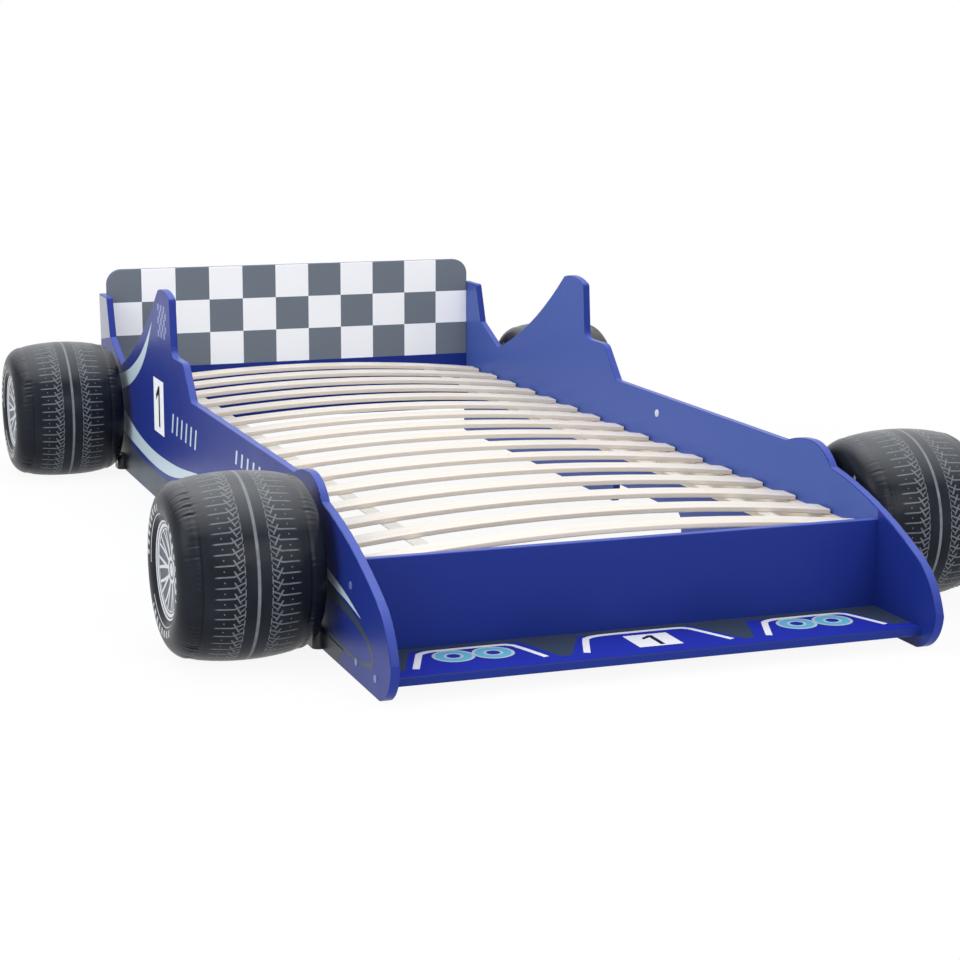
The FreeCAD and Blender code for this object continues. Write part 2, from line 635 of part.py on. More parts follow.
# staples pin each tape to each slat from below
staple_shapes = []
for side in SIDES:
    tilt = FreeCAD.Rotation(V(0, 1, 0), math.degrees(tape_tilt) * side)
    for back in SLAT_BACKS:
        staple = Part.makeBox(num(S["staple_length"]), num(S["staple_thick"]) * 2,
                              num(S["staple_thick"]))
        staple.translate(V(-num(S["staple_length"]) / 2, -num(S["staple_thick"]),
                           -num(S["staple_thick"]) - num(S["tape_thick"])))
        staple.Placement = FreeCAD.Placement(
            V(num(S["tape_centre"]) * side, num(back - S["slat_width"] / 2), tape_height),
            tilt).multiply(staple.Placement)
        staple_shapes.append(staple)
group("tape_staples", staple_shapes)

# ---------------------------------------------------------------- wheels
# each wheel is one inflated skin: crowned tread, drawn-in shoulder seams, bulging sidewalls
SEAT = math.radians(num(S["valve_angle"]))
seam = V(num(S["seam_offset"]), num(S["seam_radius"]), 0)
rim = V(num(S["rim_offset"]), num(S["rim_radius"]), 0)
sidewall, _ = arc_between(seam, rim, num(S["sidewall_radius"]), HOLLOW)
seat_reach = num(S["sidewall_radius"] - S["valve_sink"])
valve_axial = sidewall.Center.x + seat_reach * math.cos(SEAT)
valve_radial = sidewall.Center.y + seat_reach * math.sin(SEAT)
TREAD_RADIUS = (S["seam_offset"] * S["seam_offset"]
                + (S["tyre_radius"] - S["seam_radius"]) * (S["tyre_radius"] - S["seam_radius"])
                ) / ((S["tyre_radius"] - S["seam_radius"]) * 2)
DISH = S["rim_offset"] - S["hub_offset"]                     # the disc inside the rim is hollow
DISH_RADIUS = (S["rim_radius"] * S["rim_radius"] + DISH * DISH) / (DISH * 2)

valve = turned(master_body("valve_pattern"), [
    (-S["valve_stem_long"], 0),
    (S["valve_floor"] - S["valve_stem_long"], 0),
    (S["valve_floor"] - S["valve_stem_long"], S["valve_bore_dia"] / 2),
    (S["valve_tube_long"], S["valve_bore_dia"] / 2),
    (S["valve_tube_long"], S["valve_tube_dia"] / 2),
    (S["valve_flange_thick"], S["valve_tube_dia"] / 2),
    (S["valve_flange_thick"], S["valve_flange_dia"] / 2),
    (0, S["valve_flange_dia"] / 2),
    (0, S["valve_tube_dia"] / 2),
    (-S["valve_stem_long"], S["valve_tube_dia"] / 2),
])
post = new_sketch(valve, "XZ_Plane", -S["hinge_width"] / 2)
rectangle(post, S["valve_flange_thick"] / 2, -S["hinge_offset"], S["valve_tube_long"],
          S["hinge_post"] - S["hinge_offset"])
pad(valve, post, S["hinge_width"])

LID_BASE = S["valve_tube_long"] + S["lid_lift"]
lid = turned(master_body("lid_pattern"), [
    (LID_BASE - S["lid_plug_long"], 0),
    (LID_BASE + S["lid_thick"], 0),
    (LID_BASE + S["lid_thick"], S["lid_dia"] / 2),
    (LID_BASE, S["lid_dia"] / 2),
    (LID_BASE, S["lid_plug_dia"] / 2),
    (LID_BASE - S["lid_plug_long"], S["lid_plug_dia"] / 2),
])
tab = new_sketch(lid, "XZ_Plane", -S["hinge_width"] / 2)
rectangle(tab, LID_BASE, -S["hinge_offset"], LID_BASE + S["lid_thick"], 0)
pad(lid, tab, S["hinge_width"])
# the strap of the lid ends in a round that turns about the hinge axis
knuckle = lid.newObject("PartDesign::AdditiveCylinder", "lid_knuckle")
bind(knuckle, "Radius", S["lid_thick"] / 2)
bind(knuckle, "Height", S["hinge_width"])
place(knuckle, LID_BASE + S["lid_thick"] / 2, S["hinge_width"] / 2, -S["hinge_offset"],
      FreeCAD.Rotation(V(1, 0, 0), 90))
doc.recompute()

for wheel, (side, centre) in WHEELS.items():
    tyre = new_body("tyre_" + wheel)
    place(tyre, WHEEL_X * side, centre, S["axle_height"])
    half_section = [
        (-S["hub_offset"], 0),
        (S["hub_offset"], 0),
        (S["rim_offset"], S["rim_radius"]),
        (S["seam_offset"], S["seam_radius"]),
        (-S["seam_offset"], S["seam_radius"]),
        (-S["rim_offset"], S["rim_radius"]),
    ]
    section = outline(new_sketch(tyre, "XZ_Plane"), half_section, {
        1: (DISH_RADIUS, HOLLOW),
        2: (S["sidewall_radius"], SWELL),
        3: (TREAD_RADIUS, SWELL),
        4: (S["sidewall_radius"], SWELL),
        5: (DISH_RADIUS, HOLLOW),
    })
    revolve(tyre, section, "H_Axis")
    # the weight of the wheel presses a flat where it meets the floor
    flat = new_sketch(tyre, "XY_Plane", -S["axle_height"])
    rectangle(flat, -S["rim_offset"], -S["tyre_radius"], S["rim_offset"], S["tyre_radius"])
    pocket(tyre, flat, S["tyre_radius"])
    # the valve sits on the inner sidewall, on the side away from the nose
    axis = V(-side * math.cos(SEAT), math.sin(SEAT), 0)
    spot = V(-side * valve_axial, valve_radial, 0)
    seat = tyre.newObject("PartDesign::SubtractiveCylinder", tyre.Name + "_valve_seat")
    bind(seat, "Radius", S["valve_tube_dia"] / 2)
    bind(seat, "Height", S["valve_stem_long"] * 2)
    seat.Placement = FreeCAD.Placement(spot - axis * num(S["valve_stem_long"]),
                                       FreeCAD.Rotation(V(0, 0, 1), axis))
    relief = tyre.newObject("PartDesign::SubtractiveCylinder", tyre.Name + "_flange_seat")
    bind(relief, "Radius", S["valve_flange_dia"] / 2)
    bind(relief, "Height", S["valve_stem_long"])
    relief.Placement = FreeCAD.Placement(spot, FreeCAD.Rotation(V(0, 0, 1), axis))
    doc.recompute()

    # local +X of valve and lid points out of the skin, the hinge lies below them
    across = V(0, 0, 1).cross(axis)
    turn = FreeCAD.Rotation(axis, across, V(0, 0, 1), "XYZ")
    where = FreeCAD.Placement(tyre.Placement.Base + spot, turn)
    group("valve_" + wheel, copies(valve, [where]))
    group("valve_lid_" + wheel, copies(lid, [where]))

    # low block screwed to the panel between wheel and panel
    anchor = new_body("anchor_" + wheel)
    place(anchor, OUTER * side, centre)
    pad(anchor, rectangle(new_sketch(anchor, "YZ_Plane"), -S["anchor_width"] / 2, 0,
                          S["anchor_width"] / 2, S["anchor_height"]), S["anchor_thick"], side < 0)
    round_edges(anchor, S["anchor_round"], lambda edge: along(edge, V(1, 0, 0))
                and edge.CenterOfMass.z > num(S["anchor_height"]) - 1)
    round_edges(anchor, S["anchor_round"], lambda edge:
                on_face(edge, [num(S["anchor_thick"]) * side])
                and edge.CenterOfMass.z > 1 and not along(edge, V(0, 0, 1)))
    spots = [(S["anchor_width"] * end / 4, S["anchor_screw_height"]) for end in SIDES]
    sketch = new_sketch(anchor, "YZ_Plane")
    pocket(anchor, circles(sketch, spots, S["wood_screw_dia"]), S["anchor_thick"], side > 0)
    sketch = new_sketch(anchor, "YZ_Plane", S["anchor_thick"] * side)
    pocket(anchor, circles(sketch, spots, S["wood_screw_head"]), S["wood_screw_head_thick"], side < 0)

group("anchor_screws", copies(anchor_screw, [
    heading((OUTER + S["anchor_thick"]) * side, y, z, V(-side, 0, 0))
    for side in SIDES for y, z in ANCHOR_SPOTS]))

# ---------------------------------------------------------------- check and write
doc.recompute()
for item in doc.Objects:
    if "Invalid" in item.State or "Error" in item.State:
        raise RuntimeError("%s did not build: %s" % (item.Label, item.State))
for item in kept:
    if item.Shape.isNull() or not item.Shape.isValid() or item.Shape.Volume <= 0:
        raise RuntimeError("the shape of %s is not sound" % item.Label)

os.makedirs("parts", exist_ok=True)
for item in kept:
    item.Shape.exportStep(os.path.join("parts", item.Label + ".step"))
    box = item.Shape.BoundBox
    print("%-20s %2d solid(s)  x %8.1f %8.1f  y %8.1f %8.1f  z %7.1f %7.1f" % (
        item.Label, len(item.Shape.Solids), box.XMin, box.XMax, box.YMin, box.YMax, box.ZMin, box.ZMax))
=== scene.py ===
import math
import random

import bpy
from mathutils import Matrix, Vector
from mathutils.geometry import tessellate_polygon


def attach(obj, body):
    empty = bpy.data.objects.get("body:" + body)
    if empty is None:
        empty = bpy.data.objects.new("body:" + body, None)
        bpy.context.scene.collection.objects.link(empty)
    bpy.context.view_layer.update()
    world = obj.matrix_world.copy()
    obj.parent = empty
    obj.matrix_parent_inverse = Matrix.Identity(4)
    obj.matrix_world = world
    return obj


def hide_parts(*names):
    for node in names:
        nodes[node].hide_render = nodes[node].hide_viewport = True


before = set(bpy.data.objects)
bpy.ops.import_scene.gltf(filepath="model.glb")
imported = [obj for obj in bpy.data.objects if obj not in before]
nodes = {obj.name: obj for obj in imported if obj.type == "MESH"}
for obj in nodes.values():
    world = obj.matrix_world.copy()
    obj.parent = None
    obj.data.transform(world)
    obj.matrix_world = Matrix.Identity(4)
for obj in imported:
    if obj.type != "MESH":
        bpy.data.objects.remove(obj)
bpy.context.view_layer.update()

# The bed lies along Y with its nose towards -Y. Lengths are in metres, apart from the outlines of
# the print, the section of the wheels and the patterns printed on them, which are in millimetres.
BODY = "bed"
MM = 0.001
HEAD = 1.115                       # face of the headboard
FOOT = -0.945                      # front face of the foot board
INNER = 0.455                      # inner face of a side panel
PANEL = 0.470                      # outer face of a side panel
TRAY_TOP = 0.037
AXLE = 0.146                       # height of the middle of a wheel
TYRE_X = 0.606                     # middle of a wheel across the bed
FRONT_AXLE = FOOT + 0.195
REAR_AXLE = HEAD - 0.215

WHEELS = ("front_left", "front_right", "rear_left", "rear_right")


def srgb(red, green, blue):
    """Colour from 0 to 255 values as they look on a screen."""
    return tuple(((c / 255 + 0.055) / 1.055) ** 2.4 if c > 10 else c / 255 / 12.92
                 for c in (red, green, blue)) + (1.0,)


BLUE = srgb(31, 49, 130)
EDGE_HIGHLIGHT_BLUE = srgb(40, 56, 140)      # narrow faces of the boards, lighter than the board as a painted highlight
TOP_EDGE_HIGHLIGHT_BLUE = srgb(84, 100, 182)     # narrow faces that look up, lighter still as a painted highlight
INNER_SHEEN_BLUE = srgb(72, 96, 172)     # faces of the side panels that look at the mattress, lighter as a painted sheen
TAB_BLUE = srgb(38, 50, 169)       # tabs of the nose tray
SLATE = srgb(58, 70, 84)
CHECK = srgb(110, 118, 128)        # dark squares of the headboard
WHITE = srgb(247, 248, 250)
PALE = srgb(194, 211, 221)
SKY = srgb(110, 190, 218)
INK = srgb(34, 36, 42)

# ------------------------------------------------------------------ node helpers


class Nodes:
    """Builds nodes in a material or in a node group."""

    def __init__(self, tree):
        self.tree = tree

    def add(self, kind, **settings):
        """A new node of a kind, with its settings."""
        node = self.tree.nodes.new(kind)
        for name, value in settings.items():
            setattr(node, name, value)
        return node

    def feed(self, socket, value):
        """Link a socket to another one, or set it to a constant."""
        if isinstance(value, bpy.types.NodeSocket):
            self.tree.links.new(value, socket)
        else:
            socket.default_value = value

    def math(self, operation, *values):
        """One arithmetic step."""
        node = self.add("ShaderNodeMath", operation=operation)
        for socket, value in zip(node.inputs, values):
            self.feed(socket, value)
        return node.outputs[0]

    def chain(self, operation, first, *others):
        """The same step over any number of values."""
        for other in others:
            first = self.math(operation, first, other)
        return first

    def mix(self, mask, first, second):
        """First colour where the mask is 0, second where it is 1."""
        node = self.add("ShaderNodeMix", data_type="RGBA")
        self.feed(node.inputs[0], mask)
        self.feed(node.inputs[6], first)
        self.feed(node.inputs[7], second)
        return node.outputs[2]

    def split(self, vector):
        node = self.add("ShaderNodeSeparateXYZ")
        self.feed(node.inputs[0], vector)
        return node.outputs

    def join(self, x, y, z):
        node = self.add("ShaderNodeCombineXYZ")
        for socket, value in zip(node.inputs, (x, y, z)):
            self.feed(socket, value)
        return node.outputs[0]

    def noise(self, vector, scale, detail=3.0, roughness=0.55):
        node = self.add("ShaderNodeTexNoise")
        self.feed(node.inputs["Vector"], vector)
        self.feed(node.inputs["Scale"], scale)
        node.inputs["Detail"].default_value = detail
        node.inputs["Roughness"].default_value = roughness
        return node.outputs["Fac"]

    def spread(self, value, low, high, first=0.0, last=1.0):
        """First at low, last at high, and an even change between them."""
        node = self.add("ShaderNodeMapRange")
        for name, number in (("Value", value), ("From Min", low), ("From Max", high),
                             ("To Min", first), ("To Max", last)):
            self.feed(node.inputs[name], number)
        return node.outputs[0]

    def near(self, value, target, half):
        """1 where value is within half of target, with a soft edge."""
        gap = self.math("ABSOLUTE", self.math("SUBTRACT", value, target))
        return self.spread(gap, self.math("MULTIPLY", half, 0.8), self.math("MULTIPLY", half, 1.2),
                           1.0, 0.0)

    def within(self, value, low, high):
        """1 between low and high, else 0."""
        return self.math("MULTIPLY", self.math("GREATER_THAN", value, low),
                         self.math("LESS_THAN", value, high))

    def either(self, *masks):
        """Where any of the masks is set."""
        return self.chain("MAXIMUM", *masks)

    def group(self, tree, **values):
        """A node group placed with its own values."""
        node = self.add("ShaderNodeGroup", node_tree=tree)
        for name, value in values.items():
            self.feed(node.inputs[name], value)
        return node.outputs


def node_group(name, inputs, outputs, build):
    """A shader node group whose sockets are made from (name, kind, default) rows."""
    tree = bpy.data.node_groups.new(name, "ShaderNodeTree")
    for label, kind, default in inputs:
        socket = tree.interface.new_socket(label, in_out="INPUT", socket_type="NodeSocket" + kind)
        if default is not None:
            socket.default_value = default
    for label, kind in outputs:
        tree.interface.new_socket(label, in_out="OUTPUT", socket_type="NodeSocket" + kind)
    maker = Nodes(tree)
    start = maker.add("NodeGroupInput")
    end = maker.add("NodeGroupOutput")
    for label, value in build(maker, start.outputs).items():
        maker.feed(end.inputs[label], value)
    return tree


def finish_material(name, color, roughness, depth, bump, build, metallic=0.0, coat=0.0,
                    coat_roughness=0.1, specular=0.5, sheen=0.0):
    """A material on one Principled shader; build(maker, where) gives socket values and a height."""
    material = bpy.data.materials.new(name)
    material.use_nodes = True
    tree = material.node_tree
    tree.nodes.clear()
    maker = Nodes(tree)
    shader = maker.add("ShaderNodeBsdfPrincipled")
    output = maker.add("ShaderNodeOutputMaterial")
    tree.links.new(shader.outputs[0], output.inputs["Surface"])
    where = maker.add("ShaderNodeTexCoord").outputs["Object"]
    values = {"Base Color": color, "Roughness": roughness, "Metallic": metallic}
    values.update(build(maker, where))
    relief = values.pop("height")
    for label, value in values.items():
        maker.feed(shader.inputs[label], value)
    shader.inputs["Coat Weight"].default_value = coat
    shader.inputs["Coat Roughness"].default_value = coat_roughness
    shader.inputs["Specular IOR Level"].default_value = specular
    shader.inputs["Sheen Weight"].default_value = sheen
    node = maker.add("ShaderNodeBump")
    node.inputs["Strength"].default_value = bump
    node.inputs["Distance"].default_value = depth
    maker.feed(node.inputs["Height"], relief)
    maker.feed(shader.inputs["Normal"], node.outputs[0])
    material.diffuse_color = color
    return material


# ------------------------------------------------------------------ shared effects
def lacquer_nodes(maker, given):
    """Faint mottling and the slight orange peel of a lacquered board."""
    cloud = maker.noise(given["Where"], 2.3, 3.0)
    fleck = maker.noise(given["Where"], 420.0, 2.0)
    tone = maker.math("MULTIPLY", maker.math("SUBTRACT", cloud, 0.5), given["Mottle"])
    peel = maker.noise(given["Where"], 260.0, 2.0)
    dark = maker.mix(maker.math("ADD", 0.5, tone), (0.0, 0.0, 0.0, 1.0), given["Colour"])
    even = maker.mix(maker.math("SUBTRACT", 1.0, given["Mottle"]), dark, given["Colour"])
    smudge = maker.spread(maker.noise(given["Where"], 9.0, 4.0), 0.35, 0.7, 0.0, 1.0)
    rough = maker.math("ADD", given["Roughness"], maker.math("MULTIPLY", smudge, 0.05))
    rough = maker.math("ADD", rough, maker.math("MULTIPLY", fleck, 0.03))
    return {"Colour": even, "Roughness": rough, "Height": peel}


LACQUER = node_group("lacquer", [
    ("Where", "Vector", None), ("Colour", "Color", (0.5, 0.5, 0.5, 1.0)),
    ("Mottle", "Float", 0.06), ("Roughness", "Float", 0.25),
], [("Colour", "Color"), ("Roughness", "Float"), ("Height", "Float")], lacquer_nodes)


def grain_nodes(maker, given):
    """Long wood grain along X with fine pores; Stretch sets how long the figure runs."""
    x, y, z = maker.split(given["Where"])
    long_x = maker.math("DIVIDE", x, given["Stretch"])
    where = maker.join(long_x, y, z)
    bend = maker.noise(where, 7.0, 2.0)
    figure = maker.noise(maker.join(long_x, maker.math("ADD", y, maker.math("MULTIPLY", bend, 0.02)),
                                    z), 95.0, 5.0, 0.6)
    pores = maker.noise(where, 900.0, 2.0, 0.7)
    lines = maker.spread(figure, 0.42, 0.66)
    ticks = maker.spread(pores, 0.56, 0.72)
    shade = maker.math("ADD", maker.math("MULTIPLY", lines, given["Figure"]),
                       maker.math("MULTIPLY", ticks, given["Pores"]))
    colour = maker.mix(shade, given["Light"], given["Dark"])
    height = maker.math("SUBTRACT", maker.math("MULTIPLY", figure, 0.5), ticks)
    return {"Colour": colour, "Height": height}


GRAIN = node_group("wood_grain", [
    ("Where", "Vector", None), ("Light", "Color", (0.8, 0.7, 0.6, 1.0)),
    ("Dark", "Color", (0.6, 0.5, 0.4, 1.0)), ("Figure", "Float", 0.5), ("Pores", "Float", 0.3),
    ("Stretch", "Float", 14.0),
], [("Colour", "Color"), ("Height", "Float")], grain_nodes)


def tread_nodes(maker, given):
    """Printed tread: a centre line, plain bands, linked triangles, fingers and dots."""
    x, y, z = maker.split(given["Where"])
    across = maker.math("MULTIPLY", maker.math("ABSOLUTE", x), 1000.0)
    turn = maker.math("DIVIDE", maker.math("ARCTAN2", y, z), 2 * math.pi)
    pitch = maker.math("FRACT", maker.math("ADD", maker.math("MULTIPLY", turn, given["Count"]), 100.0))
    half = maker.math("ABSOLUTE", maker.math("SUBTRACT", pitch, 0.5))
    centre = maker.near(across, 0.0, 2.5)
    dashed = maker.math("MULTIPLY", maker.near(across, 21.5, 0.8),
                        maker.math("GREATER_THAN", half, 0.14))
    # every finger runs on as a slanting stroke to the dashed line, crossed by a zigzag spine
    lean = maker.math("SUBTRACT", pitch, maker.spread(across, 22.0, 39.0, 0.95, 0.5))
    stroke = maker.math("MULTIPLY", maker.near(lean, 0.0, 0.08), maker.within(across, 22.0, 39.5))
    climb = maker.spread(pitch, 0.0, 1.0, 29.0, 38.5)
    spine = maker.near(across, climb, 1.5)
    hook = maker.math("MULTIPLY", maker.near(maker.math(
        "ADD", pitch, maker.spread(across, 22.0, 30.0, 0.0, 0.35)), 0.55, 0.07),
        maker.within(across, 22.0, 30.0))
    finger = maker.math("MULTIPLY", maker.near(half, 0.0, 0.07),
                        maker.math("MULTIPLY", maker.math("GREATER_THAN", across, 38.5),
                                   maker.spread(across, 64.0, 70.0, 1.0, 0.0)))
    cross_gap = maker.math("MULTIPLY", maker.math("SUBTRACT", 0.5, half), 17.0)
    off = maker.math("SUBTRACT", across, 54.0)
    dot = maker.math("LESS_THAN", maker.math("ADD", maker.math("MULTIPLY", off, off),
                                             maker.math("MULTIPLY", cross_gap, cross_gap)), 1.6)
    lines = maker.either(dashed, stroke, spine, hook, finger, dot)
    wear = maker.spread(maker.noise(given["Where"], 60.0, 3.0), 0.3, 0.6, 0.7, 1.0)
    print_mask = maker.either(centre, maker.math("MULTIPLY", lines, 0.8))
    return {"Print": maker.math("MULTIPLY", print_mask, wear)}


TREAD_PRINT = node_group("tread_print", [
    ("Where", "Vector", None), ("Count", "Float", 54.0),
], [("Print", "Float")], tread_nodes)


def rim_nodes(maker, given):
    """Printed rim: double edge line, paired spokes and hub, with a ring of plain dashes outside."""
    x, y, z = maker.split(given["Where"])
    radius = maker.math("MULTIPLY", maker.math("SQRT", maker.math(
        "ADD", maker.math("MULTIPLY", y, y), maker.math("MULTIPLY", z, z))), 1000.0)
    turn = maker.math("ADD", maker.math("DIVIDE", maker.math("ARCTAN2", y, z), 2 * math.pi), 2.0)
    spoke = maker.math("FRACT", maker.math("MULTIPLY", turn, 10.0))
    half = maker.math("ABSOLUTE", maker.math("SUBTRACT", spoke, 0.5))
    spread = maker.spread(radius, 22.0, 66.0, 0.04, 0.22)
    width = maker.spread(radius, 22.0, 66.0, 0.14, 0.05)
    spokes = maker.math("MULTIPLY", maker.near(half, spread, width), maker.within(radius, 18.0, 68.0))
    rings = maker.either(maker.near(radius, 79.0, 1.6), maker.near(radius, 72.5, 2.6),
                         maker.near(radius, 66.5, 0.8))
    hub = maker.either(maker.math("LESS_THAN", radius, 11.0), maker.near(radius, 19.0, 3.2))
    dash = maker.math("FRACT", maker.math("MULTIPLY", turn, 36.0))
    sector = maker.math("FRACT", maker.math("MULTIPLY", turn, 3.0))
    dashes = maker.chain("MULTIPLY", maker.near(radius, 102.0, 5.5), maker.within(dash, 0.2, 0.68),
                         maker.within(sector, 0.12, 0.72))
    fine = maker.math("MULTIPLY", maker.near(radius, 91.0, 0.6), maker.within(sector, 0.06, 0.78))
    face = maker.math("LESS_THAN", radius, 76.0)
    bright = maker.either(spokes, rings, hub, maker.math("MULTIPLY", dashes, 0.7), fine)
    side = maker.math("GREATER_THAN", maker.math("ABSOLUTE", x), 0.100)
    return {"Print": maker.math("MULTIPLY", bright, side), "Face": maker.math("MULTIPLY", face, side)}


RIM_PRINT = node_group("rim_print", [("Where", "Vector", None)],
                       [("Print", "Float"), ("Face", "Float")], rim_nodes)


def weave_nodes(maker, given):
    """Plain weave of a narrow tape."""
    x, y, z = maker.split(given["Where"])
    warp = maker.math("SINE", maker.math("MULTIPLY", x, given["Threads"]))
    weft = maker.math("SINE", maker.math("MULTIPLY", y, given["Threads"]))
    cloth = maker.math("MULTIPLY", warp, weft)
    fluff = maker.noise(given["Where"], 1800.0, 2.0)
    return {"Mask": maker.spread(cloth, -0.4, 0.8), "Height": maker.math("ADD", cloth, fluff)}


WEAVE = node_group("tape_weave", [
    ("Where", "Vector", None), ("Threads", "Float", 2600.0),
], [("Mask", "Float"), ("Height", "Float")], weave_nodes)


# ------------------------------------------------------------------ materials
def lacquered(name, color, roughness=0.3, mottle=0.05, edge=None, facing=0, inner=None):
    """Lacquered board; edge is the colour of the narrow faces that turn away from axis facing, a
    painted highlight, and inner that of the faces that look at the mattress, lighter as a painted
    sheen."""
    def build(maker, where):
        shade = color
        if edge:
            normal = maker.split(maker.add("ShaderNodeNewGeometry").outputs["Normal"])
            if inner:
                # faces that look at the mattress take the lighter colour of a painted sheen
                x, y, z = maker.split(where)
                toward = maker.math("MULTIPLY", normal[0], maker.math("SIGN", x))
                sheen_faces = maker.math("MULTIPLY", maker.math("LESS_THAN", toward, -0.5),
                                    maker.math("GREATER_THAN", y, FOOT))
                shade = maker.mix(sheen_faces, color, inner)
            # the narrow faces get a painted highlight colour, lighter still where they look up
            turned = maker.math("LESS_THAN", maker.math("ABSOLUTE", normal[facing]), 0.97)
            rim = maker.mix(maker.spread(normal[2], 0.35, 0.95), edge, TOP_EDGE_HIGHLIGHT_BLUE)
            shade = maker.mix(turned, shade, rim)
        made = maker.group(LACQUER, Where=where, Colour=shade, Mottle=mottle, Roughness=roughness)
        return {"Base Color": made["Colour"], "Roughness": made["Roughness"],
                "height": made["Height"]}
    return finish_material(name, color, roughness, depth=0.00004, bump=0.35, specular=0.1,
                           build=build)


CHECK_COLUMNS = 11
CHECK_TOP = 0.4383                 # top of the upper row of squares
CHECK_ROW = 0.0794                 # height of a row
CHECK_FOOT = 0.2001                # the board is plain blue below this


def headboard_nodes(maker, where):
    """Check print on the front face above the blue strip."""
    x, y, z = maker.split(where)
    column = maker.math("FLOOR", maker.math("DIVIDE", maker.math("ADD", x, INNER),
                                            2 * INNER / CHECK_COLUMNS))
    row = maker.math("FLOOR", maker.math("DIVIDE", maker.math("SUBTRACT", CHECK_TOP, z), CHECK_ROW))
    odd = maker.math("MODULO", maker.math("ADD", maker.math("ADD", column, row), 20.0), 2.0)
    check = maker.mix(maker.math("GREATER_THAN", odd, 0.5), CHECK, WHITE)
    normal = maker.split(maker.add("ShaderNodeNewGeometry").outputs["Normal"])
    front = maker.math("LESS_THAN", normal[1], -0.3)
    printed = maker.math("MULTIPLY", front, maker.math("GREATER_THAN", z, CHECK_FOOT))
    made = maker.group(LACQUER, Where=where, Mottle=0.05, Roughness=0.3,
                       Colour=maker.mix(printed, BLUE, check))
    return {"Base Color": made["Colour"], "Roughness": made["Roughness"], "height": made["Height"]}


CROWN_DEPTH = 3.5368               # the slats curve about a line roughly this far below the floor
PLY = 0.0016                       # thickness of one lamination


def birch_nodes(maker, where):
    """Pale veneer, with the glue lines of the laminations on the long edges."""
    grain = maker.group(GRAIN, Where=where, Light=srgb(240, 233, 223), Dark=srgb(222, 208, 190),
                        Figure=0.34, Pores=0.2, Stretch=18.0)
    x, y, z = maker.split(where)
    lift = maker.math("SQRT", maker.math("ADD", maker.math("MULTIPLY", x, x), maker.math(
        "POWER", maker.math("ADD", z, CROWN_DEPTH), 2.0)))
    layer = maker.math("FRACT", maker.math("DIVIDE", lift, PLY))
    glue = maker.math("LESS_THAN", layer, 0.14)
    normal = maker.split(maker.add("ShaderNodeNewGeometry").outputs["Normal"])
    edge = maker.math("GREATER_THAN", maker.math("ABSOLUTE", normal[1]), 0.75)
    colour = maker.mix(maker.math("MULTIPLY", edge, 0.5), grain["Colour"], srgb(206, 192, 174))
    colour = maker.mix(maker.chain("MULTIPLY", glue, edge, 0.4), colour, srgb(168, 144, 116))
    rough = maker.spread(maker.noise(where, 30.0), 0.3, 0.7, 0.42, 0.52)
    return {"Base Color": colour, "Roughness": rough, "height": grain["Height"]}


def pine_nodes(maker, where):
    """Planed pine that runs along the bed."""
    x, y, z = maker.split(where)
    grain = maker.group(GRAIN, Where=maker.join(y, x, z), Light=srgb(238, 226, 205),
                        Dark=srgb(212, 186, 148), Figure=0.6, Pores=0.2, Stretch=10.0)
    return {"Base Color": grain["Colour"], "height": grain["Height"]}


def tape_nodes(maker, where):
    """Pale woven tape."""
    made = maker.group(WEAVE, Where=where, Threads=2600.0)
    return {"Base Color": maker.mix(made["Mask"], srgb(218, 212, 203), srgb(240, 236, 228)),
            "height": made["Height"]}


def steel_nodes(maker, where):
    """Zinc plate with fine scratches."""
    scratch = maker.noise(where, 700.0, 3.0)
    return {"Base Color": maker.mix(scratch, srgb(150, 152, 156), srgb(200, 201, 204)),
            "Roughness": maker.spread(scratch, 0.3, 0.7, 0.25, 0.45), "height": scratch}


def moulded(name, color, roughness, depth, bump):
    """Moulded plastic or vinyl of one colour, a little lighter in places."""
    def build(maker, where):
        fine = maker.noise(where, 1200.0, 2.0)
        wide = maker.noise(where, 30.0, 2.0)
        tone = maker.mix(maker.spread(wide, 0.3, 0.7, 0.0, 0.25), color,
                         tuple(min(1.0, c * 1.5 + 0.01) for c in color[:3]) + (1.0,))
        return {"Base Color": tone, "height": fine}
    return finish_material(name, color, roughness, depth=depth, bump=bump, build=build)


SEAM_SHADE_LINE = 0.0865                 # painted shade along the weld groove, this far across from the middle of the wheel


def vinyl_nodes(maker, where):
    """Dark skin with the tread and rim print, a painted shade line along each weld, a painted sheen
    that makes it paler where it looks up, and a fine ripple.
    """
    tread = maker.group(TREAD_PRINT, Where=where, Count=54.0)["Print"]
    rim = maker.group(RIM_PRINT, Where=where)
    bloom = maker.noise(where, 11.0, 4.0)
    skin = maker.mix(maker.spread(bloom, 0.35, 0.7), srgb(24, 27, 34), srgb(36, 40, 48))
    x, y, z = maker.split(where)
    across = maker.math("ABSOLUTE", x)
    # painted shade: the skin darkens along each weld groove
    seam = maker.math("MULTIPLY", maker.near(across, SEAM_SHADE_LINE, 0.0016), 0.5)
    skin = maker.mix(seam, skin, srgb(10, 11, 14))
    skin = maker.mix(rim["Face"], skin, srgb(86, 91, 100))
    skin = maker.mix(maker.math("MULTIPLY", tread, 0.72), skin, srgb(140, 147, 154))
    skin = maker.mix(maker.math("MULTIPLY", rim["Print"], 0.95), skin, srgb(212, 215, 219))
    # painted sheen: the skin turns paler where it looks up, under the light above
    up = maker.split(maker.add("ShaderNodeNewGeometry").outputs["Normal"])[2]
    skin = maker.mix(maker.spread(up, 0.5, 1.0, 0.0, 0.3), skin, srgb(176, 178, 180))
    rough = maker.spread(maker.noise(where, 24.0, 3.0), 0.3, 0.7, 0.26, 0.36)
    ripple = maker.noise(where, 75.0, 3.0)
    return {"Base Color": skin, "Roughness": rough, "height": ripple}


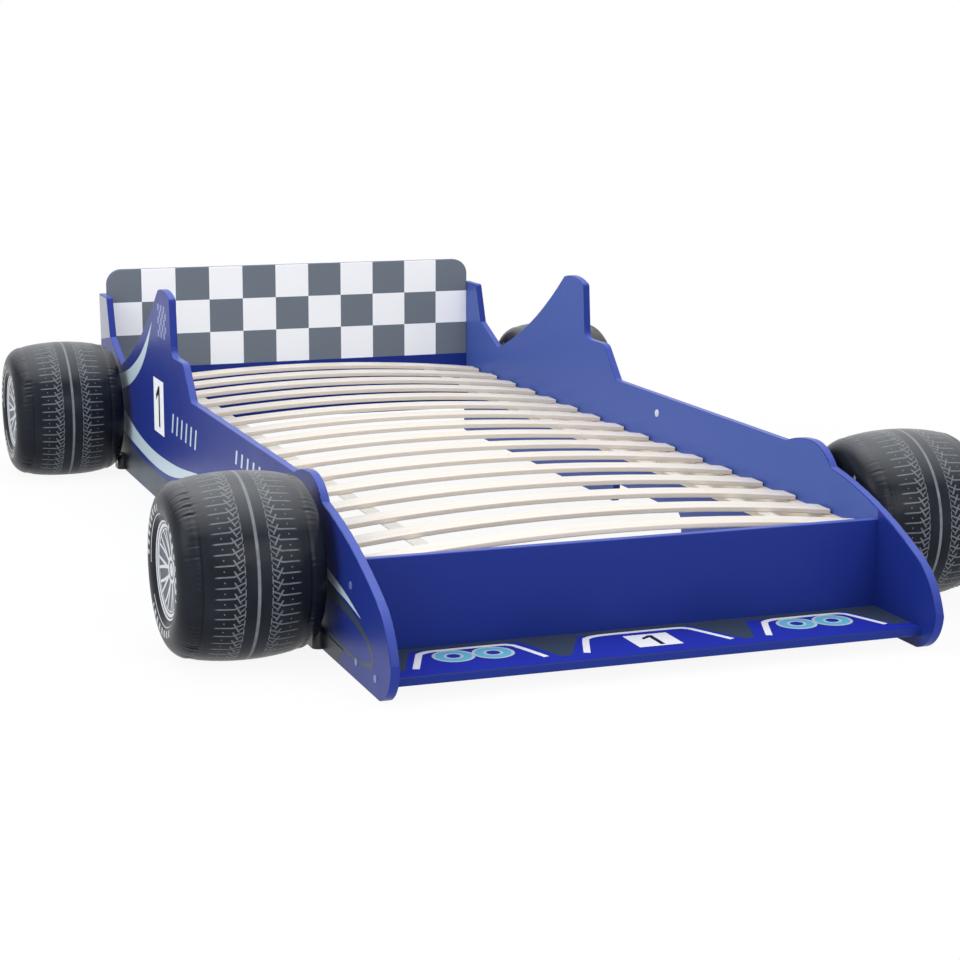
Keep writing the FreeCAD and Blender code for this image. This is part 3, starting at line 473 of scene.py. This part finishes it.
BLUE_LACQUER = lacquered("blue_lacquer", BLUE)
PANEL_LACQUER = lacquered("panel_lacquer", BLUE, edge=EDGE_HIGHLIGHT_BLUE, inner=INNER_SHEEN_BLUE)
TAB_LACQUER = lacquered("tab_lacquer", TAB_BLUE)
BOARD_LACQUER = lacquered("board_lacquer", BLUE, edge=EDGE_HIGHLIGHT_BLUE, facing=1)
CHECKED = finish_material("checked_lacquer", WHITE, 0.3, depth=0.00004, bump=0.35,
                          specular=0.1, build=headboard_nodes)
SLATE_PRINT = lacquered("slate_print", SLATE)
WHITE_PRINT = lacquered("white_print", WHITE, mottle=0.03)
PALE_PRINT = lacquered("pale_print", PALE, mottle=0.04)
# light grey on the fin of each side panel is a painted reflection
FIN_REFLECTION = lacquered("fin_reflection", srgb(176, 178, 190), mottle=0.04)
FAINT_PRINT = lacquered("faint_print", srgb(132, 142, 190), mottle=0.04)
SKY_PRINT = lacquered("light_blue_print", SKY)
INK_PRINT = lacquered("black_print", INK)
BIRCH = finish_material("birch_veneer", srgb(244, 234, 220), 0.45, depth=0.0002, bump=0.25,
                        build=birch_nodes)
PINE = finish_material("planed_pine", srgb(226, 204, 170), 0.5, depth=0.0002, bump=0.3,
                       build=pine_nodes)
TAPE = finish_material("woven_tape", srgb(200, 194, 182), 0.85, depth=0.0003, bump=0.8,
                       build=tape_nodes, sheen=0.3)
STEEL = finish_material("zinc_steel", srgb(180, 182, 185), 0.35, depth=0.0001, bump=0.2,
                        metallic=1.0, build=steel_nodes)
CAP_BLUE = moulded("cap_blue", srgb(96, 108, 172), 0.3, depth=0.00005, bump=0.3)
# the pale colour of the panel buttons is a painted highlight
BUTTON_HIGHLIGHT = moulded("button_highlight", srgb(206, 209, 220), 0.3, depth=0.00005, bump=0.3)
ANCHOR_BLACK = moulded("anchor_black", srgb(34, 37, 43), 0.35, depth=0.0001, bump=0.3)
VALVE_CLEAR = moulded("valve_vinyl", srgb(176, 182, 190), 0.35, depth=0.0001, bump=0.2)
VINYL = finish_material("inflated_vinyl", srgb(28, 31, 38), 0.3, depth=0.0006, bump=0.25,
                        coat=0.03, coat_roughness=0.2, specular=0.08, build=vinyl_nodes)


def finish_for(node):
    """The material of a CAD node."""
    if node == "headboard":
        return CHECKED
    if node.endswith("_panel"):
        return PANEL_LACQUER
    if node == "foot_board":
        return BOARD_LACQUER
    if node == "nose_tray":
        return BLUE_LACQUER
    if node.startswith("slat_") and node != "slat_screws":
        return BIRCH
    if node.endswith("_ledge") or node == "dowels":
        return PINE
    if node.endswith("_tape"):
        return TAPE
    if node == "screw_caps":
        return CAP_BLUE
    if node == "panel_buttons":
        return BUTTON_HIGHLIGHT
    if node.startswith("valve"):
        return VALVE_CLEAR
    if node.startswith("anchor_") and node != "anchor_screws":
        return ANCHOR_BLACK
    return STEEL


for label, item in nodes.items():
    if label.startswith("tyre_"):
        continue
    item.data.materials.clear()
    item.data.materials.append(finish_for(label))


# ------------------------------------------------------------------ mesh helpers
def mesh_piece(name, points, faces, material, smooth=False):
    """A new piece that rides on the bed."""
    mesh = bpy.data.meshes.new(name)
    mesh.from_pydata([tuple(p) for p in points], [], faces)
    mesh.validate()
    mesh.materials.append(material)
    if smooth:
        mesh.shade_smooth()
    piece = bpy.data.objects.new(name, mesh)
    bpy.context.scene.collection.objects.link(piece)
    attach(piece, BODY)
    return piece


CURVE_STEPS = 8                    # stretches of a smooth curve between two of its points
RING_POINTS = 48


def flowing(points):
    """Points on a smooth curve through the given ones."""
    last = len(points) - 1
    made = []
    for i in range(last):
        p0, p1 = Vector(points[max(i - 1, 0)]), Vector(points[i])
        p2, p3 = Vector(points[i + 1]), Vector(points[min(i + 2, last)])
        for step in range(CURVE_STEPS):
            t = step / CURVE_STEPS
            made.append(0.5 * (2 * p1 + (p2 - p0) * t + (2 * p0 - 5 * p1 + 4 * p2 - p3) * t * t
                               + (3 * p1 - p0 - 3 * p2 + p3) * t ** 3))
    made.append(Vector(points[-1]))
    return made


def band(points, widths):
    """Outline of a stroke along a smooth curve whose width changes from point to point."""
    line = flowing([(*p, w) for p, w in zip(points, widths)])
    left, right = [], []
    for i, spot in enumerate(line):
        ahead = line[min(i + 1, len(line) - 1)] - line[max(i - 1, 0)]
        side = Vector((-ahead.y, ahead.x)).normalized() * spot.z / 2
        left.append(spot.xy + side)
        right.append(spot.xy - side)
    return left + right[::-1]


def ring(cx, cy, radius):
    """Outline of a round disc."""
    turns = [2 * math.pi * i / RING_POINTS for i in range(RING_POINTS)]
    return [Vector((cx + radius * math.cos(t), cy + radius * math.sin(t))) for t in turns]


def side_spot(side, lift):
    """Place of a print on the outer face of a side panel, from distance along the bed and height."""
    def place(point):
        return Vector((side * (PANEL + lift), point[0], point[1]))
    return place


def tray_spot(lift):
    """Place of a print on the nose tray, from distance across and along the bed."""
    return lambda point: Vector((point[0], point[1], TRAY_TOP + lift))


def printed(name, shapes, place, material, face_up):
    """Flat print from closed outlines; face_up is the way that it looks."""
    points, faces = [], []
    for shape in shapes:
        flat = [Vector((p[0], p[1], 0.0)) for p in shape]
        spots = [place(p) for p in shape]
        for tri in tessellate_polygon([flat]):
            a, b, c = (spots[k] for k in tri)
            turned = (b - a).cross(c - a).dot(Vector(face_up)) < 0
            order = (tri[0], tri[2], tri[1]) if turned else tri
            faces.append(tuple(len(points) + k for k in order))
        points.extend(spots)
    return mesh_piece(name, points, faces, material)


def along_bed(points):
    """Millimetre points measured forward of the headboard face and up from the floor."""
    return [(HEAD - p[0] * MM, p[1] * MM) for p in points]


def digit_one(cx, cy, height, toward):
    """Outline of a plain figure 1; toward is +1 where the reader's right is the way that cx grows."""
    shape = [(-0.02, -0.5), (0.13, -0.5), (0.13, 0.5), (0.0, 0.5), (-0.28, 0.28), (-0.28, 0.13),
             (-0.02, 0.3)]
    return [(cx + x * toward * height, cy + y * height) for x, y in shape]


# ------------------------------------------------------------------ print on the side panels
UPPER_SWOOSH = along_bed([(588, 386), (520, 336), (450, 295), (370, 262), (300, 240), (215, 221),
                          (150, 209), (158, 170), (255, 193), (330, 213), (400, 239), (470, 275),
                          (530, 321)])
LOWER_SWOOSH_TOP = [(120, 176), (190, 158), (270, 141), (370, 120), (479, 107), (600, 102),
                    (737, 105), (850, 112), (1000, 128)]
LOWER_SWOOSH_FOOT = [(1000, 127), (850, 92), (740, 76), (640, 71), (529, 72), (421, 78), (262, 90),
                     (190, 102), (120, 120)]
SKIRT_TOP = [(30, 118), (120, 108), (190, 92), (262, 80), (421, 66), (529, 60), (640, 59),
             (740, 64), (850, 78), (1000, 112), (1150, 128), (1320, 120), (1460, 92), (1560, 40),
             (1580, 3)]
SKIRT_FOOT = [(1293, 3), (1280, 45), (950, 45), (937, 3), (30, 3)]     # it clears the toe recess
# millimetres that a print stands proud of the board, and of a print that it lies on
INK_LAYER = 0.12
SECOND_LAYER = 0.24
FLAG = 14                          # side of a small check's squares


def side_print(label, side):
    """The print of one side panel: sweeps, skirt, number plate, bars and nose figure."""
    outward = (side, 0, 0)

    def lay(piece, shapes, lift, material):
        printed("%s_%s" % (label, piece), shapes, side_spot(side, lift * MM), material, outward)

    skirt = flowing(SKIRT_TOP) + [Vector(point) for point in SKIRT_FOOT]
    lay("skirt", [along_bed(skirt)], INK_LAYER, SLATE_PRINT)
    top = flowing(LOWER_SWOOSH_TOP)
    foot = flowing(LOWER_SWOOSH_FOOT)
    lay("lower_sweep", [along_bed(top + foot)], SECOND_LAYER, PALE_PRINT)
    lay("upper_sweep", [flowing(UPPER_SWOOSH[:7]) + flowing(UPPER_SWOOSH[7:] + UPPER_SWOOSH[:1])],
        INK_LAYER, PALE_PRINT)
    plate = along_bed([(588, 150), (688, 150), (688, 267), (588, 267)])
    lay("number_plate", [plate], INK_LAYER, WHITE_PRINT)
    middle = (HEAD - 0.638, 0.2085)
    lay("number", [digit_one(middle[0], middle[1], 0.088, side)], SECOND_LAYER, INK_PRINT)
    # the light grey patch on the fin is a painted reflection
    fin = along_bed([(-23, 378), (-15, 272), (99, 290), (66, 378)])
    lay("fin_reflection_patch", [fin], INK_LAYER, FIN_REFLECTION)
    bars = []
    wide, pitch = 12, 42
    for start, count, low, high, lean in ((762, 6, 173, 215, 14), (1313, 5, 205, 232, 9)):
        for i in range(count):
            x = start + i * pitch
            bars.append(along_bed([(x, low), (x + wide, low), (x + wide + lean, high),
                                   (x + lean, high)]))
    lay("bars", bars, INK_LAYER, PALE_PRINT)
    flags = []
    for row in range(5):
        for column in range(6):
            if (row + column) % 2 == 0:
                x, z = 646 + column * FLAG, 360 + row * FLAG
                flags.append(along_bed([(x, z), (x + FLAG, z + 1), (x + FLAG, z + FLAG + 1),
                                        (x, z + FLAG)]))
    lay("small_check", flags, INK_LAYER, FAINT_PRINT)
    spike = band(along_bed([(1700, 168), (1820, 158), (1938, 134), (2030, 120), (2104, 105)]),
                 [0.004, 0.012, 0.017, 0.010, 0.001])
    lay("nose_spike", [spike], INK_LAYER, PALE_PRINT)
    loop = band(along_bed([(1700, 108), (1820, 116), (1937, 108), (2048, 99), (2127, 82),
                           (2168, 58), (2150, 42), (2100, 34), (2019, 33), (1935, 36),
                           (1880, 44)]),
                [0.004, 0.012, 0.017, 0.015, 0.012, 0.009, 0.008, 0.007, 0.007, 0.010, 0.014])
    lay("nose_loop", [loop], INK_LAYER, SLATE_PRINT)
    wedge = along_bed([(1830, 3), (1880, 26), (1935, 33), (2012, 31), (1990, 16), (1975, 3)])
    lay("nose_wedge", [wedge], INK_LAYER, SLATE_PRINT)


side_print("left", -1)
side_print("right", 1)


# ------------------------------------------------------------------ print on the nose tray
# millimetres that each layer stands proud of the tray
STRIP_LAYER, TAB_LAYER, WHITE_LAYER, NUMBER_LAYER = 0.16, 0.20, 0.30, 0.40
RING_OVERLAP = 0.32


def tray_print():
    """Slate ground with three blue tabs edged in white, two ring pairs and a number plate."""
    up = (0, 0, 1)

    def lay(piece, shapes, lift, material):
        printed("tray_" + piece, shapes, tray_spot(lift * MM), material, up)

    def forward(points):
        """Millimetre points as distance across and depth in front of the foot board."""
        return [(x * MM, FOOT - depth * MM) for x, depth in points]

    ground = forward([(-454, 1), (-454, 122), (454, 122), (454, 1)])
    lay("ground", [ground], INK_LAYER, SLATE_PRINT)
    tabs, edges = [], []
    for middle, reach_left, reach_right, rise_left, rise_right in (
            (-300, 122, 131, 85, 100), (0, 148, 148, 100, 100), (300, 131, 122, 100, 85)):
        tabs.append(forward([(middle - reach_left, 126), (middle - reach_left, 118),
                             (middle - rise_left, 22), (middle + rise_right, 22),
                             (middle + reach_right, 118), (middle + reach_right, 126)]))
    # the tabs run out into a blue strip along the front edge
    lay("tabs", tabs, TAB_LAYER, TAB_LACQUER)
    strip = forward([(-454, 120), (-454, 149), (454, 149), (454, 120)])
    lay("front_strip", [strip], STRIP_LAYER, TAB_LACQUER)
    for points in ([(-404, 116), (-378, 50), (-372, 38), (-356, 30), (-330, 28), (-240, 28),
                    (-222, 33), (-212, 48), (-190, 116)],
                   [(-122, 116), (-96, 48), (-88, 36), (-68, 28), (-30, 26), (68, 26), (88, 33),
                    (98, 48), (130, 116)],
                   [(196, 116), (222, 50), (229, 38), (245, 30), (270, 28), (354, 28), (374, 33),
                    (384, 48), (410, 116)]):
        edges.append(band(forward(points), [0.011] * 4 + [0.010] * (len(points) - 4)))
    lay("tab_edges", edges, WHITE_LAYER, WHITE_PRINT)
    # a ring is four discs on each other, and the far ring of a pair lies over the near one
    centres = {"near": ((-326, 66), (272, 66)), "far": ((-261, 68), (337, 68))}
    for part, radius, lift, finish in (
            ("rings", 34, 0.35, PALE_PRINT), ("discs", 29, 0.42, SKY_PRINT),
            ("eyelets", 16, 0.49, PALE_PRINT), ("holes", 11, 0.56, TAB_LACQUER)):
        for name, level in (("near", 0.0), ("far", RING_OVERLAP)):
            shapes = [ring(x * MM, FOOT - depth * MM, radius * MM) for x, depth in centres[name]]
            lay("%s_%s" % (part, name), shapes, lift + level, finish)
    plate = forward([(-31, 45), (45, 45), (45, 115), (-31, 115)])
    lay("number_plate", [plate], WHITE_LAYER, WHITE_PRINT)
    lay("number", [digit_one(0.009, FOOT - 0.081, 0.056, 1)], NUMBER_LAYER, INK_PRINT)


tray_print()


# ------------------------------------------------------------------ inflated wheels
# places on the wheel are (across from its middle, radius), in millimetres
CROWN = 153.0                      # radius in the middle of the tread
SEAM = (86.0, 144.0)
DISC_EDGE = (113.0, 80.0)
HUB = 105.0                        # distance across to the middle of the hollow disc
WALL_RADIUS = 40.0
TREAD_STEPS, WALL_STEPS, DISC_STEPS = 18, 26, 16
AROUND = 432                       # points round the wheel
FLOOR_GAP = 0.4                    # the flat foot of the wheel stays this far off the floor
# a seam: folds that fade away from it, a groove, and the raised weld in the groove
WALL_FOLD, WALL_REACH = 5.0, 17.0
TREAD_FOLD, TREAD_REACH = 1.0, 7.0
PANEL_SHARE = 0.5                  # folds by the side panel against those on the outer side
FOLD_CLEAR = 3.0                   # the folds fade out within about this of the weld
GROOVE_DEPTH, GROOVE_WIDTH = 2.6, 4.0
WELD_HEIGHT, WELD_WIDTH = 1.9, 1.1


def arc_points(start, end, radius, steps):
    """Points of an arc that swells to the left of the way from start to end."""
    a, b = Vector(start), Vector(end)
    chord = b - a
    side = Vector((-chord.y, chord.x)).normalized()
    centre = (a + b) / 2 - side * math.sqrt(radius ** 2 - (chord.length / 2) ** 2)
    first = math.atan2(a.y - centre.y, a.x - centre.x)
    last = math.atan2(b.y - centre.y, b.x - centre.x)
    turns = [first + (last - first) * i / steps for i in range(steps + 1)]
    return [(centre.x + radius * math.cos(t), centre.y + radius * math.sin(t)) for t in turns]


def wheel_section():
    """Half section as (across, radius) in millimetres, from the tread's middle to the hub."""
    drop = CROWN - SEAM[1]
    tread_radius = (SEAM[0] ** 2 + drop ** 2) / (2 * drop)
    tread = [(x, CROWN - tread_radius + math.sqrt(tread_radius ** 2 - x * x))
             for x in [SEAM[0] * i / TREAD_STEPS for i in range(TREAD_STEPS)]]
    wall = arc_points(SEAM, DISC_EDGE, WALL_RADIUS, WALL_STEPS)
    dip = DISC_EDGE[0] - HUB
    dish_radius = (DISC_EDGE[1] ** 2 + dip ** 2) / (2 * dip)
    dish = [(HUB + dish_radius - math.sqrt(dish_radius ** 2 - r * r), r)
            for r in [DISC_EDGE[1] * (1 - i / DISC_STEPS) for i in range(1, DISC_STEPS + 1)]]
    return tread + wall + dish


def crease_waves(seed):
    """Uneven folds round a seam: a function of the angle, from -0.9 in a deep fold to about 0.06."""
    rng = random.Random(seed)
    waves = [(rng.randint(34, 58), rng.uniform(0, 6.28), rng.uniform(0.3, 0.6)) for _ in range(5)]
    slow = [(rng.randint(3, 9), rng.uniform(0, 6.28)) for _ in range(3)]

    def fold(turn):
        value = max(-1.0, min(1.0, sum(a * math.sin(n * turn + p) for n, p, a in waves)))
        gate = 0.6 + sum(math.sin(n * turn + p) for n, p in slow) * 0.25
        return (0.3 * value - 1.2 * max(0.0, value) ** 3) * max(0.15, min(1.0, gate))
    return fold


def wheel_skin(name, side, axle_y, seed):
    """An inflated wheel: crowned tread, welded shoulder seams with puckers, domed sidewalls."""
    half = wheel_section()
    section = [(-x, r) for x, r in half[:0:-1]] + half
    lengths = [0.0]
    for before, after in zip(section, section[1:]):
        lengths.append(lengths[-1] + math.dist(before, after))
    seam_at = [min(range(len(section)), key=lambda i: math.dist(section[i], (s * SEAM[0], SEAM[1])))
               for s in (-1, 1)]
    outside = seam_at[0] if side < 0 else seam_at[1]
    folds = [crease_waves(seed), crease_waves(seed + 7)]
    points = []
    for i, (x, r) in enumerate(section[1:-1], start=1):
        before, after = section[i - 1], section[i + 1]
        along = Vector((after[0] - before[0], after[1] - before[1])).normalized()
        normal = Vector((-along.y, along.x))
        if normal.y < 0 and abs(x) < 80:
            normal.negate()
        for k in range(AROUND):
            turn = 2 * math.pi * k / AROUND
            push = 0.0
            for seam, fold in zip(seam_at, folds):
                gap = lengths[i] - lengths[seam]
                on_wall = (gap < 0) == (seam == seam_at[0])
                size, reach = (WALL_FOLD, WALL_REACH) if on_wall else (TREAD_FOLD, TREAD_REACH)
                size *= 1.0 if seam == outside else PANEL_SHARE
                push += size * fold(turn) * math.exp(-(abs(gap) / reach) ** 1.5) * (
                    1 - math.exp(-(gap / FOLD_CLEAR) ** 2))
                push -= GROOVE_DEPTH * math.exp(-(gap / GROOVE_WIDTH) ** 2)
                push += WELD_HEIGHT * math.exp(-(gap / WELD_WIDTH) ** 2)
            sx, sr = x + normal.x * push, r + normal.y * push
            z = max(sr * math.cos(turn), FLOOR_GAP - AXLE / MM)
            points.append((sx * MM, sr * math.sin(turn) * MM, z * MM))
    rows = len(section) - 2
    faces = []
    for i in range(rows - 1):
        for k in range(AROUND):
            a, b = i * AROUND + k, i * AROUND + (k + 1) % AROUND
            faces.append((a, b, b + AROUND, a + AROUND))
    for first, x in ((0, section[0][0]), ((rows - 1) * AROUND, section[-1][0])):
        points.append((x * MM, 0.0, 0.0))
        hub = len(points) - 1
        for k in range(AROUND):
            a, b = first + k, first + (k + 1) % AROUND
            faces.append((hub, b, a) if first == 0 else (hub, a, b))
    piece = mesh_piece("wheel_" + name, points, faces, VINYL, smooth=True)
    piece.location = (side * TYRE_X, axle_y, AXLE)
    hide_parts("tyre_" + name)


for seed, label in enumerate(WHEELS):
    wheel_skin(label, 1 if "right" in label else -1,
               FRONT_AXLE if "front" in label else REAR_AXLE, 11 + seed * 31)


# ------------------------------------------------------------------ studio
SHADOW_SHARE = 0.86                # plain white's share of the floor that the camera sees by the bed
SHADOW_NEAR, SHADOW_FAR = 0.5, 1.9      # it rises to 1 between these distances from the middle


def stage_material(name):
    """White floor that keeps a soft shadow by the bed and is plain white further off."""
    material = bpy.data.materials.new(name)
    material.use_nodes = True
    tree = material.node_tree
    tree.nodes.clear()
    maker = Nodes(tree)
    output = maker.add("ShaderNodeOutputMaterial")
    where = maker.add("ShaderNodeTexCoord").outputs["Object"]
    cloud = maker.noise(where, 1.5)
    x, y, z = maker.split(where)
    far = maker.math("SQRT", maker.math("ADD", maker.math("MULTIPLY", x, x),
                                        maker.math("MULTIPLY", y, y)))
    share = maker.spread(far, SHADOW_NEAR, SHADOW_FAR, SHADOW_SHARE, 1.0)
    matte = maker.add("ShaderNodeBsdfDiffuse")
    maker.feed(matte.inputs["Color"], maker.mix(cloud, (0.90, 0.90, 0.90, 1), (0.92, 0.92, 0.92, 1)))
    plain = maker.add("ShaderNodeEmission")
    plain.inputs["Color"].default_value = (1.0, 1.0, 1.0, 1.0)
    rays = maker.add("ShaderNodeLightPath")
    seen = maker.math("MULTIPLY", maker.either(rays.outputs["Is Camera Ray"],
                                               rays.outputs["Is Glossy Ray"],
                                               rays.outputs["Is Transmission Ray"]), share)
    blend = maker.add("ShaderNodeMixShader")
    maker.feed(blend.inputs[0], seen)
    tree.links.new(matte.outputs[0], blend.inputs[1])
    tree.links.new(plain.outputs[0], blend.inputs[2])
    tree.links.new(blend.outputs[0], output.inputs["Surface"])
    return material


def studio():
    """Pale floor, plain white surroundings and four soft lamps."""
    reach, level = 60.0, -0.0005
    mesh = bpy.data.meshes.new("floor")
    mesh.from_pydata([(-reach, -reach, level), (reach, -reach, level), (reach, reach, level),
                      (-reach, reach, level)], [], [(0, 1, 2, 3)])
    floor = bpy.data.objects.new("floor", mesh)
    mesh.materials.append(stage_material("studio_floor"))
    bpy.context.scene.collection.objects.link(floor)

    world = bpy.data.worlds.new("studio")
    world.use_nodes = True
    tree = world.node_tree
    tree.nodes.clear()
    maker = Nodes(tree)
    light = maker.add("ShaderNodeBackground")
    light.inputs["Color"].default_value = (0.93, 0.96, 1.0, 1.0)
    light.inputs["Strength"].default_value = 0.58
    seen = maker.add("ShaderNodeBackground")
    seen.inputs["Color"].default_value = (1.0, 1.0, 1.0, 1.0)
    seen.inputs["Strength"].default_value = 1.0
    rays = maker.add("ShaderNodeLightPath")
    mask = maker.either(rays.outputs["Is Camera Ray"], rays.outputs["Is Glossy Ray"],
                        rays.outputs["Is Transmission Ray"])
    blend = maker.add("ShaderNodeMixShader")
    maker.feed(blend.inputs[0], mask)
    tree.links.new(light.outputs[0], blend.inputs[1])
    tree.links.new(seen.outputs[0], blend.inputs[2])
    output = maker.add("ShaderNodeOutputWorld")
    tree.links.new(blend.outputs[0], output.inputs["Surface"])
    bpy.context.scene.world = world

    def softbox(name, place, aim, wide, tall, watts):
        lamp = bpy.data.lights.new(name, "AREA")
        lamp.shape = "RECTANGLE"
        lamp.size, lamp.size_y = wide, tall
        lamp.energy = watts
        item = bpy.data.objects.new(name, lamp)
        item.location = place
        item.rotation_mode = "QUATERNION"
        item.rotation_quaternion = (Vector(aim) - Vector(place)).to_track_quat("-Z", "Y")
        bpy.context.scene.collection.objects.link(item)

    softbox("top_light", (-0.6, 0.4, 4.2), (0.0, 0.0, 0.0), 4.0, 4.0, 48.0)
    softbox("left_light", (-4.2, -1.2, 2.6), (0.0, 0.2, 0.2), 2.6, 3.0, 78.0)
    softbox("front_light", (0.8, -5.0, 2.4), (0.0, -0.6, 0.2), 3.0, 2.2, 88.0)
    softbox("inner_light", (-0.35, 0.1, 2.3), (0.9, 0.0, 0.1), 1.0, 3.0, 11.0)


studio()


# ------------------------------------------------------------------ camera
IMAGE_WIDTH = 960                  # pixels
FOCAL = 2226.2                     # focal length in pixels
CENTRE_SHIFT = (-0.9, 1.0)         # pixels
SENSOR = 36.0                      # millimetres
VIEWPOINT = (-1.4345, -4.1643, 0.9743)
VIEW_ANGLES = (-20.08, 11.16, 0.21)     # azimuth, elevation and roll, degrees


def photo_camera():
    """The photograph's viewpoint, worked out from the straight edges of the bed."""
    azimuth, elevation, roll = (math.radians(angle) for angle in VIEW_ANGLES)
    back = Vector((math.sin(azimuth) * math.cos(elevation), -math.cos(azimuth) * math.cos(elevation),
                   math.sin(elevation)))
    right = (-back).cross(Vector((0, 0, 1))).normalized()
    up = right.cross(-back)
    turned_right = right * math.cos(roll) + up * math.sin(roll)
    turned_up = up * math.cos(roll) - right * math.sin(roll)
    lens = bpy.data.cameras.new("photo_camera")
    lens.sensor_width = SENSOR
    lens.lens = FOCAL * SENSOR / IMAGE_WIDTH
    lens.shift_x, lens.shift_y = (shift / IMAGE_WIDTH for shift in CENTRE_SHIFT)
    lens.clip_start, lens.clip_end = 0.1, 200.0
    item = bpy.data.objects.new("photo_camera", lens)
    frame_axes = Matrix((turned_right, turned_up, back)).transposed().to_4x4()
    item.matrix_world = Matrix.Translation(VIEWPOINT) @ frame_axes
    bpy.context.scene.collection.objects.link(item)
    bpy.context.scene.camera = item


photo_camera()
bpy.context.scene.view_settings.view_transform = "Standard"
